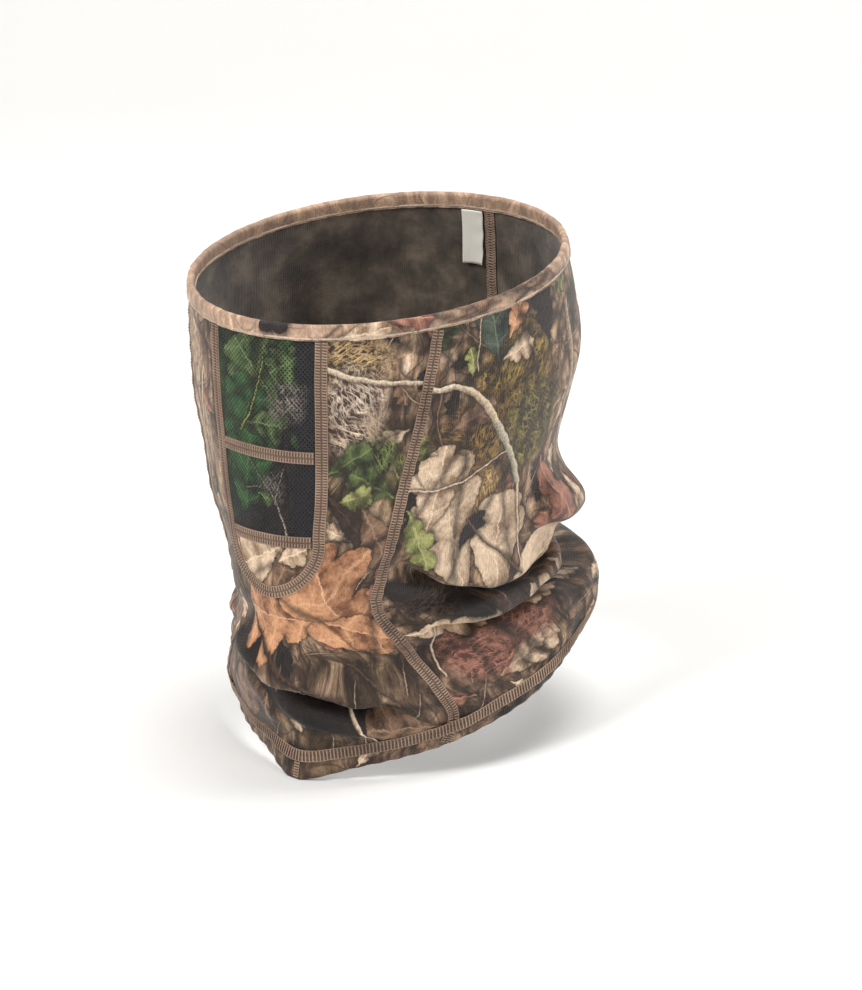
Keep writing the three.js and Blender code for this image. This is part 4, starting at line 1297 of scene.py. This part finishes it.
def between_turns(drops, start, end, columns):
    """Rows of (turn, drop) from one line down the cloth to another."""
    share = np.linspace(0, 1, columns + 1)[None, :]
    turn = start[:, None] + (end - start)[:, None] * share
    return np.stack([turn, np.broadcast_to(drops[:, None], turn.shape)], -1)


def half_gap(turn, drop):
    """The turn that moves a spot half a seam gap round the head."""
    along = form(turn + 0.5, drop) - form(turn - 0.5, drop)
    return SEAM_GAP / 2 / np.linalg.norm(along, axis=-1)


def round_drops(bottom, count=16):
    """Drops down the window's round bottom, at even angles."""
    start = WINDOW_SIDES[-1][0]
    return [start + (bottom - start) * math.sin(math.pi / 2 * (k + 1) / count) for k in range(count)]


# How many columns of quads each panel has across.
COLUMNS = {"window": 28, "front": 36, "back": 96, "label": 14}


class FACEMASK_OT_window(bpy.types.Operator):
    """Make the mesh panels over the nose and mouth, and the chin panel"""

    bl_idname = "facemask.window"
    bl_label = "Mesh and chin panels"

    def execute(self, context):
        sizes, prints = context.scene.mask_sizes, prints_made()
        mesh = finish_named("printed polyester mesh", net, mesh_print, prints, sizes.net / MM)
        chin = finish_named("printed jersey, chin", jersey, chin_print, prints, sizes.knit / MM)
        back = finish_named("jersey reverse", reverse, sizes.knit / MM)
        gap = SEAM_GAP / 2
        panels = (
            ("nose_mesh_cloth", "nose_mesh_panel", PANEL_TOP, CROSS_SEAM - gap, (0.054, 0.054)),
            ("mouth_mesh_cloth", "mouth_mesh_panel", CROSS_SEAM + gap, CHIN_SEAM - gap, (0.05, 0.039)),
            ("chin_cloth", "chin_panel", CHIN_SEAM + gap, WINDOW_BOTTOM - gap, (0.044, 0.024)),
        )
        of_mesh = (sizes.mesh_cloth, mesh, mesh, "camo_mesh")
        of_jersey = (sizes.cloth, chin, back, "camo_jersey")
        for name, cad, top, bottom, flat in panels:
            ply, face, inner, slot = of_jersey if name == "chin_cloth" else of_mesh
            rounds = [d for d in round_drops(WINDOW_BOTTOM - gap) if top < d < bottom]
            drops = panel_drops(sizes, top, bottom, rounds)
            edge = window_turn(drops, -gap)
            patch = Patch().rows(between_turns(drops, -edge, edge, COLUMNS["window"]))
            made = patch.solid(name, level(0), level(-ply / MM), face, inner)
            keep(made, [cad])
        return {"FINISHED"}


class FACEMASK_OT_front(bpy.types.Operator):
    """Make the front panel, round the window, the cheeks and the throat"""

    bl_idname = "facemask.front"
    bl_label = "Front panel"

    def execute(self, context):
        sizes, prints = context.scene.mask_sizes, prints_made()
        face = finish_named("printed jersey, front", jersey, front_print, prints, sizes.knit / MM)
        back = finish_named("jersey reverse", reverse, sizes.knit / MM)
        gap = SEAM_GAP / 2
        extra = [*round_drops(WINDOW_BOTTOM + gap), *HEM_STEP]
        drops = panel_drops(sizes, PANEL_TOP, BOTTOM, extra)
        seam = side_seam(drops)
        seam = seam - half_gap(seam, drops)
        rows = between_turns(drops, window_turn(drops, gap), seam, COLUMNS["front"])
        patch = Patch().rows(rows).rows(rows, mirrored=True)
        made = patch.solid("front_cloth", level(0), cloth_depth(sizes), face, back)
        keep(made, ["front_panel"])
        return {"FINISHED"}


class FACEMASK_OT_back(bpy.types.Operator):
    """Make the two panels that run from the side seams to the centre back"""

    bl_idname = "facemask.back"
    bl_label = "Side and back panels"

    def execute(self, context):
        sizes, prints = context.scene.mask_sizes, prints_made()
        face = finish_named("printed jersey, sides", jersey, side_print, prints, sizes.knit / MM)
        back = finish_named("jersey reverse", reverse, sizes.knit / MM)
        drops = panel_drops(sizes, PANEL_TOP, BOTTOM, HEM_STEP)
        seam = side_seam(drops)
        seam = seam + half_gap(seam, drops)
        middle = BACK_SEAM - half_gap(np.full(drops.shape, BACK_SEAM), drops)
        rows = between_turns(drops, seam, middle, COLUMNS["back"])
        for side, mirrored in (("left", False), ("right", True)):
            patch = Patch().rows(rows, mirrored)
            made = patch.solid(f"{side}_back_cloth", level(0), cloth_depth(sizes), face, back)
            keep(made, [f"{side}_back_panel"])
        return {"FINISHED"}


def swept_band(name, section, steps, materials, ripple):
    """A closed section of (drop, offset) corners swept round the head, with a gentle ripple."""
    turn = np.linspace(0, 360, steps, endpoint=False)[:, None]
    section = np.array(section)
    drop, offset = section[None, :, 0], section[None, :, 1]
    turn, drop, offset = np.broadcast_arrays(turn, drop, offset)
    bend = ripple(turn)
    points = lifted(turn, np.clip(drop, 0, None), offset + bend)
    points[..., 2] -= np.minimum(drop, 0)
    count = section.shape[0]
    block = np.arange(steps * count).reshape(steps, count)
    ahead = np.roll(block, -1, axis=0)
    quads = np.stack([block, ahead, np.roll(ahead, -1, 1), np.roll(block, -1, 1)], -1).reshape(-1, 4)
    made = mesh_object(name, points.reshape(-1, 3) * MM, quads.tolist(), materials)
    length = np.concatenate([[0], np.cumsum(np.hypot(*np.diff(section, axis=0).T))])
    shut = length[-1] + np.hypot(*(section[0] - section[-1]))
    here, there = np.arange(steps), np.arange(1, steps + 1)
    sides = np.append(length, shut)
    spots = np.empty((steps, count, 4, 2))
    for k in range(count):
        for c, (column, row) in enumerate(((here, k), (there, k), (there, k + 1), (here, k + 1))):
            spots[:, k, c, 0] = column * 360 / steps
            spots[:, k, c, 1] = sides[row]
    spots = spots.reshape(-1, 2)
    add_maps(made, spots, np.zeros(len(spots)))
    made.data.set_sharp_from_angle(angle=70 * DEGREE)
    return made


# The binding in section: drops, and how far it stands out there. Its stitching draws both faces in.
BINDING_FACE = ((BINDING_HEIGHT, -0.15), (6.6, 0), (5.9, -0.28), (5.0, 0), (3.6, 0.1))
BINDING_BACK = ((3.6, 0), (5.9, 0.2), (BINDING_HEIGHT, 0.1))
# The elastic in section: the drops and offsets of its sides, and its ribs.
ELASTIC_TOP, ELASTIC_LOW = 1.2, 4.9
ELASTIC_OUTER, ELASTIC_INNER = -0.15, -0.85
RIBS, RIB_DEPTH = 16, 0.1


class FACEMASK_OT_binding(bpy.types.Operator):
    """Make the folded binding along the top edge, and the elastic inside it"""

    bl_idname = "facemask.binding"
    bl_label = "Top edge"

    def execute(self, context):
        sizes, colours, prints = context.scene.mask_sizes, context.scene.mask_colours, prints_made()
        face = finish_named("printed jersey, binding", jersey, binding_print, prints, sizes.knit / MM)
        ply = sizes.binding / MM
        outer, inner = SEAM_GAP + ply, -sizes.cloth / MM - SEAM_GAP - ply
        middle, radius = (outer + inner) / 2, (outer - inner) / 2
        section = [(drop, outer + out) for drop, out in BINDING_FACE]
        for angle in np.linspace(0, math.pi, 9):
            section.append((radius * (1 - math.sin(angle)), middle + radius * math.cos(angle)))
        section += [(drop, inner + out) for drop, out in BINDING_BACK]
        section += [(BINDING_HEIGHT, inner + ply), (ply, inner + ply)]
        section += [(ply, SEAM_GAP), (BINDING_HEIGHT, SEAM_GAP)]

        def pucker(turn):
            return 0.12 * np.sin(turn * DEGREE * 62) + 0.1 * np.sin(turn * DEGREE * 23 + 1)

        made = swept_band("top_binding_cloth", section, 480, [face], pucker)
        keep(made, ["top_hem_binding"])
        white = finish_named("braided elastic", elastic_knit, list(colours.elastic))
        height = ELASTIC_LOW - ELASTIC_TOP
        ribs = []
        for k in range(RIBS + 1):
            ribs.append((ELASTIC_LOW - height * k / RIBS, ELASTIC_OUTER - RIB_DEPTH * (k % 2)))
        for k in range(RIBS + 1):
            ribs.append((ELASTIC_TOP + height * k / RIBS, ELASTIC_INNER + RIB_DEPTH * (k % 2)))
        made = swept_band("top_elastic_band", ribs, 240, [white], lambda turn: 0 * turn)
        keep(made, ["top_hem_elastic"])
        return {"FINISHED"}


LABEL_LENGTH = 24.0
LABEL_START, LABEL_TURN = 2.4, 8.0
LABEL_OUTER, LABEL_INNER = -2.1, -2.45


class FACEMASK_OT_label(bpy.types.Operator):
    """Make the blank care label inside the back"""

    bl_idname = "facemask.label"
    bl_label = "Care label"

    def execute(self, context):
        colours = context.scene.mask_colours
        white = finish_named("woven satin label", satin, list(colours.label))
        drops = spread(SEAM_TOP, SEAM_TOP + LABEL_LENGTH, 1.0)
        turn = np.full(drops.shape, BACK_SEAM + LABEL_START)
        rows = between_turns(drops, turn, turn + LABEL_TURN, COLUMNS["label"])

        def lift(base):
            """An offset that hangs away towards the free end, and curls at its sides."""

            def offset(turn, drop):
                free = np.clip((drop - SEAM_TOP) / LABEL_LENGTH, 0, 1)
                aside = (turn - BACK_SEAM - LABEL_START - LABEL_TURN / 2) / (LABEL_TURN / 2)
                return base - 0.7 * free**1.5 - 0.9 * free**2 * aside**2

            return offset

        outer, inner = lift(LABEL_OUTER), lift(LABEL_INNER)
        made = Patch().rows(rows).solid("care_label_tab", outer, inner, white, white)
        keep(made, ["care_label"])
        return {"FINISHED"}


# How far the stitching lies off the cloth outside and inside, and how much more where the hem crosses a
# seam; how near that starts, and over what length it eases.
FACE_LIFT, INSIDE_LIFT, CROSSING_LIFT = 0.05, 0.3, 0.9
CROSSING_START, CROSSING_EASE = 12, 7


def climb(turn, drop):
    """How much the hem's stitching rises where a seam passes under it, from 0 to 1."""
    crossings = (side_seam(HEM_STITCH), -side_seam(HEM_STITCH), BACK_SEAM)
    nearest = np.min([np.abs(wrapped(turn - at)) for at in crossings], axis=0) * AROUND
    share = np.clip((CROSSING_START - nearest) / CROSSING_EASE, 0, 1)
    return share * share * (3 - 2 * share)


def lifts(sizes, rise):
    """How far a seam's face and inside stitches lie off the cloth's outer face, each to its own side."""
    depth = cloth_depth(sizes)

    def face(turn, drop):
        return FACE_LIFT + CROSSING_LIFT * rise(turn, drop)

    def inside(turn, drop):
        return INSIDE_LIFT - depth(turn, drop) + CROSSING_LIFT * rise(turn, drop)

    return face, inside


def seam_finishes(colours):
    """The seam thread, and the bed of thread in the shade under it."""
    light, dark, shade = list(colours.seam), list(colours.seam_dark), list(colours.seam_bed)
    return (
        finish_named("polyester seam thread", thread, light, dark),
        finish_named("polyester seam bed", thread, dark, shade),
    )


def sew(stitches, name, cad, bed, bars, rows, finishes):
    """Lays one side of a seam: its bed, its cross threads and its running threads."""
    stitches.strip(*bed)
    for bar in bars:
        stitches.bars(*bar)
    stitches.rows(*rows)
    keep(stitches.piece(name, *finishes), [cad])


def seam_paths():
    """Each flatlock seam's path of (turn, drop)."""
    straight = spread(SEAM_TOP, WINDOW_SIDES[-1][0], 2)
    left = np.concatenate([straight, round_drops(WINDOW_BOTTOM, 24)])
    left = np.stack([window_turn(left), left], 1)
    window = np.concatenate([left, left[-2::-1] * (-1, 1)])
    down = spread(SEAM_TOP, SEAM_END, 2)

    def across(drop):
        """Across the window, to just inside the seam round it."""
        reach = float(window_turn(drop + 2.75, -3.0))
        return np.stack([np.linspace(reach, -reach, 40), np.full(40, drop)], 1)

    return {
        "window_seam": window,
        "cross_seam": across(CROSS_SEAM),
        "chin_seam": across(CHIN_SEAM),
        "left_side_seam": np.stack([side_seam(down), down], 1),
        "right_side_seam": np.stack([-side_seam(down), down], 1),
        "centre_back_seam": np.stack([np.full(down.shape, BACK_SEAM), down], 1),
    }


class FACEMASK_OT_seams(bpy.types.Operator):
    """Stitch the flatlock seams between the panels, face and inside"""

    bl_idname = "facemask.seams"
    bl_label = "Flatlock seams"

    def execute(self, context):
        sizes, finishes = context.scene.mask_sizes, seam_finishes(context.scene.mask_colours)
        half, pitch, radius = sizes.seam_width / MM / 2, sizes.stitch / MM, sizes.thread / MM / 2
        face, inside = lifts(sizes, level(0))
        cover = [
            (start, end, radius * 1.25, 0.36, 0.22, 0.12)
            for start, end in ((-half + 0.35, -0.45), (0.45, half - 0.35))
        ]
        looped = [(-half + 0.2, half - 0.2, radius * 0.8, 0.22, 0.1, slant) for slant in (0.9, -0.9)]
        for name, path in seam_paths().items():
            rows = ((-half + 0.25, half - 0.25), radius * 0.8, 0.4)
            stitches = Threads(path, pitch, face)
            title = name.replace("seam", "cover_stitch")
            sew(stitches, title, f"{name}_face_thread", (half, 0.2), cover, rows, finishes)
            rows = ((-half + 0.3, half - 0.3), radius * 0.7, 0.3, 0.1)
            stitches = Threads(path, pitch, inside, -1)
            title = name.replace("seam", "looper_stitch")
            sew(stitches, title, f"{name}_inside_thread", (half - 0.3, 0.1), looped, rows, finishes)
        return {"FINISHED"}


class FACEMASK_OT_hems(bpy.types.Operator):
    """Stitch the bottom hem, the point of its front, and the row along the top binding"""

    bl_idname = "facemask.hems"
    bl_label = "Hem stitching"

    def execute(self, context):
        sizes, colours = context.scene.mask_sizes, context.scene.mask_colours
        finishes = seam_finishes(colours)
        pale = finish_named("polyester binding thread", thread, list(colours.lock), list(colours.lock_dark))
        half, radius = sizes.seam_width / MM / 2, sizes.thread / MM / 2
        ring_turn = np.linspace(360, 0, 361)
        round_hem = np.stack([ring_turn, np.full(361, HEM_STITCH)], 1)
        point = np.stack([np.zeros(12), np.linspace(HEM_STITCH + half + SEAM_GAP, BOTTOM - 0.6, 12)], 1)
        for name, title, path, reach, pitch, rise in (
            ("bottom_hem_stitching", "bottom_hem", round_hem, half, sizes.hem_stitch / MM, climb),
            ("hem_point_seam", "hem_point", point, half / 2, sizes.stitch / MM, level(0)),
        ):
            face, inside = lifts(sizes, rise)
            stitches = Threads(path, pitch, face)
            bed = (reach - 0.2, 0.16)
            bars = [(-reach + 0.1, reach - 0.1, radius * 1.3, 0.36, 0.2, 0.25)]
            rows = ((-reach + 0.15, reach - 0.15), radius * 0.8, 0.4)
            sew(stitches, f"{title}_cover_thread", f"{name}_face_thread", bed, bars, rows, finishes)
            stitches = Threads(path, pitch, inside, -1)
            bed = (reach - 0.3, 0.1)
            bars = [(-reach + 0.1, reach - 0.1, radius * 0.8, 0.22, 0.1, 0.9)]
            rows = ((-reach + 0.2, reach - 0.2), radius * 0.7, 0.3, 0.1)
            sew(stitches, f"{title}_looper_thread", f"{name}_inside_thread", bed, bars, rows, finishes)
        row = np.stack([ring_turn, np.full(361, BINDING_HEIGHT - 1.0)], 1)
        ply, cloth = sizes.binding / MM, sizes.cloth / MM
        for side, base, cad, name in (
            (1, SEAM_GAP + ply - 0.25, "face", "top_row_stitch"),
            (-1, cloth + SEAM_GAP + ply - 0.2, "inside", "top_row_looper"),
        ):
            stitches = Threads(row, 2.4, level(base), side)
            running = ((0.0,), radius * 1.1, 0.28, 0.35)
            cad = f"top_hem_stitching_{cad}_thread"
            sew(stitches, name, cad, (0.5, 0.12), (), running, (pale, pale))
        return {"FINISHED"}


# The stage, in metres: half the paper's width, where it bends up and how wide, and how high it goes.
PAPER_HALF, BEND_START, BEND_RADIUS, PAPER_TOP = 4.0, 1.2, 0.8, 4.0
# The camera stands round and above the front, and aims at the middle of the mask.
CAMERA_TURN, CAMERA_RISE, CAMERA_AWAY, CAMERA_LENS = 31 * DEGREE, 16 * DEGREE, 1.9, 155.4
CAMERA_AIM, LIGHT_AIM = Vector((0.020, 0.012, -0.108)), Vector((0, 0, -0.1))
# Each light's place, size and power.
LIGHTS = (
    ("key light", (-0.5, -1.4, 1.35), 0.8, 30),
    ("fill light", (1.7, -0.9, 0.6), 1.4, 11),
    ("top light", (0.2, 0.3, 1.7), 1.0, 18),
    ("rim light", (1.2, 1.2, 0.8), 0.8, 9),
)


def facing(place, aim):
    """The rotation of a light or camera at a place, so that it looks at its aim."""
    return (aim - Vector(place)).to_track_quat("-Z", "Y").to_euler()


class FACEMASK_OT_stage(bpy.types.Operator):
    """Make the pale floor, the soft studio lights and the camera"""

    bl_idname = "facemask.stage"
    bl_label = "Floor, lights and camera"

    def execute(self, context):
        scene = context.scene
        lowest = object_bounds()[0].z
        paper = finish_named("seamless paper", backdrop_paper, list(scene.mask_colours.floor))
        run = [(-PAPER_HALF, 0.0), (BEND_START, 0.0)]
        for k in range(1, 13):
            angle = k * 7.5 * DEGREE
            rise = BEND_RADIUS - BEND_RADIUS * math.cos(angle)
            run.append((BEND_START + BEND_RADIUS * math.sin(angle), rise))
        run.append((BEND_START + BEND_RADIUS, PAPER_TOP))
        points = [(side, y, lowest + z) for y, z in run for side in (-PAPER_HALF, PAPER_HALF)]
        faces = [(2 * k, 2 * k + 1, 2 * k + 3, 2 * k + 2) for k in range(len(run) - 1)]
        floor = mesh_object("floor", points, faces, [paper])
        floor.rotation_euler.z = CAMERA_TURN
        floor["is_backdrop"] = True
        for name, place, size, power in LIGHTS:
            light = bpy.data.lights.new(name, "AREA")
            light.size, light.energy = size, power
            lamp = bpy.data.objects.new(name, light)
            lamp.location = place
            lamp.rotation_euler = facing(place, LIGHT_AIM)
            scene.collection.objects.link(lamp)
        world = bpy.data.worlds.new("studio")
        world.use_nodes = True
        sky = world.node_tree.nodes["Background"]
        sky.inputs["Color"].default_value = (1, 1, 1, 1)
        sky.inputs["Strength"].default_value = 0.42
        scene.world = world
        scene.view_settings.view_transform = "Standard"
        camera = bpy.data.cameras.new("camera")
        camera.lens = CAMERA_LENS
        holder = bpy.data.objects.new("camera", camera)
        flat = math.cos(CAMERA_RISE)
        way = (math.sin(CAMERA_TURN) * flat, -math.cos(CAMERA_TURN) * flat, math.sin(CAMERA_RISE))
        holder.location = Vector(way) * CAMERA_AWAY
        holder.rotation_euler = facing(holder.location, CAMERA_AIM)
        scene.collection.objects.link(holder)
        scene.camera = holder
        return {"FINISHED"}


class FACEMASK_PT_panel(bpy.types.Panel):
    """The mask's pieces, sizes and colours"""

    bl_idname = "FACEMASK_PT_panel"
    bl_label = "Face mask"
    bl_space_type = "VIEW_3D"
    bl_region_type = "UI"
    bl_category = "Face mask"

    def draw(self, context):
        for settings in (context.scene.mask_sizes, context.scene.mask_colours):
            for key in settings.__annotations__:
                self.layout.prop(settings, key)
        for operator in PIECES:
            self.layout.operator(operator.bl_idname)


PIECES = (
    FACEMASK_OT_binding,
    FACEMASK_OT_front,
    FACEMASK_OT_back,
    FACEMASK_OT_window,
    FACEMASK_OT_label,
    FACEMASK_OT_seams,
    FACEMASK_OT_hems,
    FACEMASK_OT_stage,
)
CLASSES = (MaskSizes, MaskColours, *PIECES, FACEMASK_PT_panel)


def register():
    for cls in CLASSES:
        bpy.utils.register_class(cls)
    bpy.types.Scene.mask_sizes = bpy.props.PointerProperty(type=MaskSizes)
    bpy.types.Scene.mask_colours = bpy.props.PointerProperty(type=MaskColours)


def unregister():
    del bpy.types.Scene.mask_colours
    del bpy.types.Scene.mask_sizes
    for cls in reversed(CLASSES):
        bpy.utils.unregister_class(cls)


def main():
    register()
    for piece in PIECES:
        group_name, _, name = piece.bl_idname.partition(".")
        getattr(getattr(bpy.ops, group_name), name)()


if __name__ == "__main__":
    main()
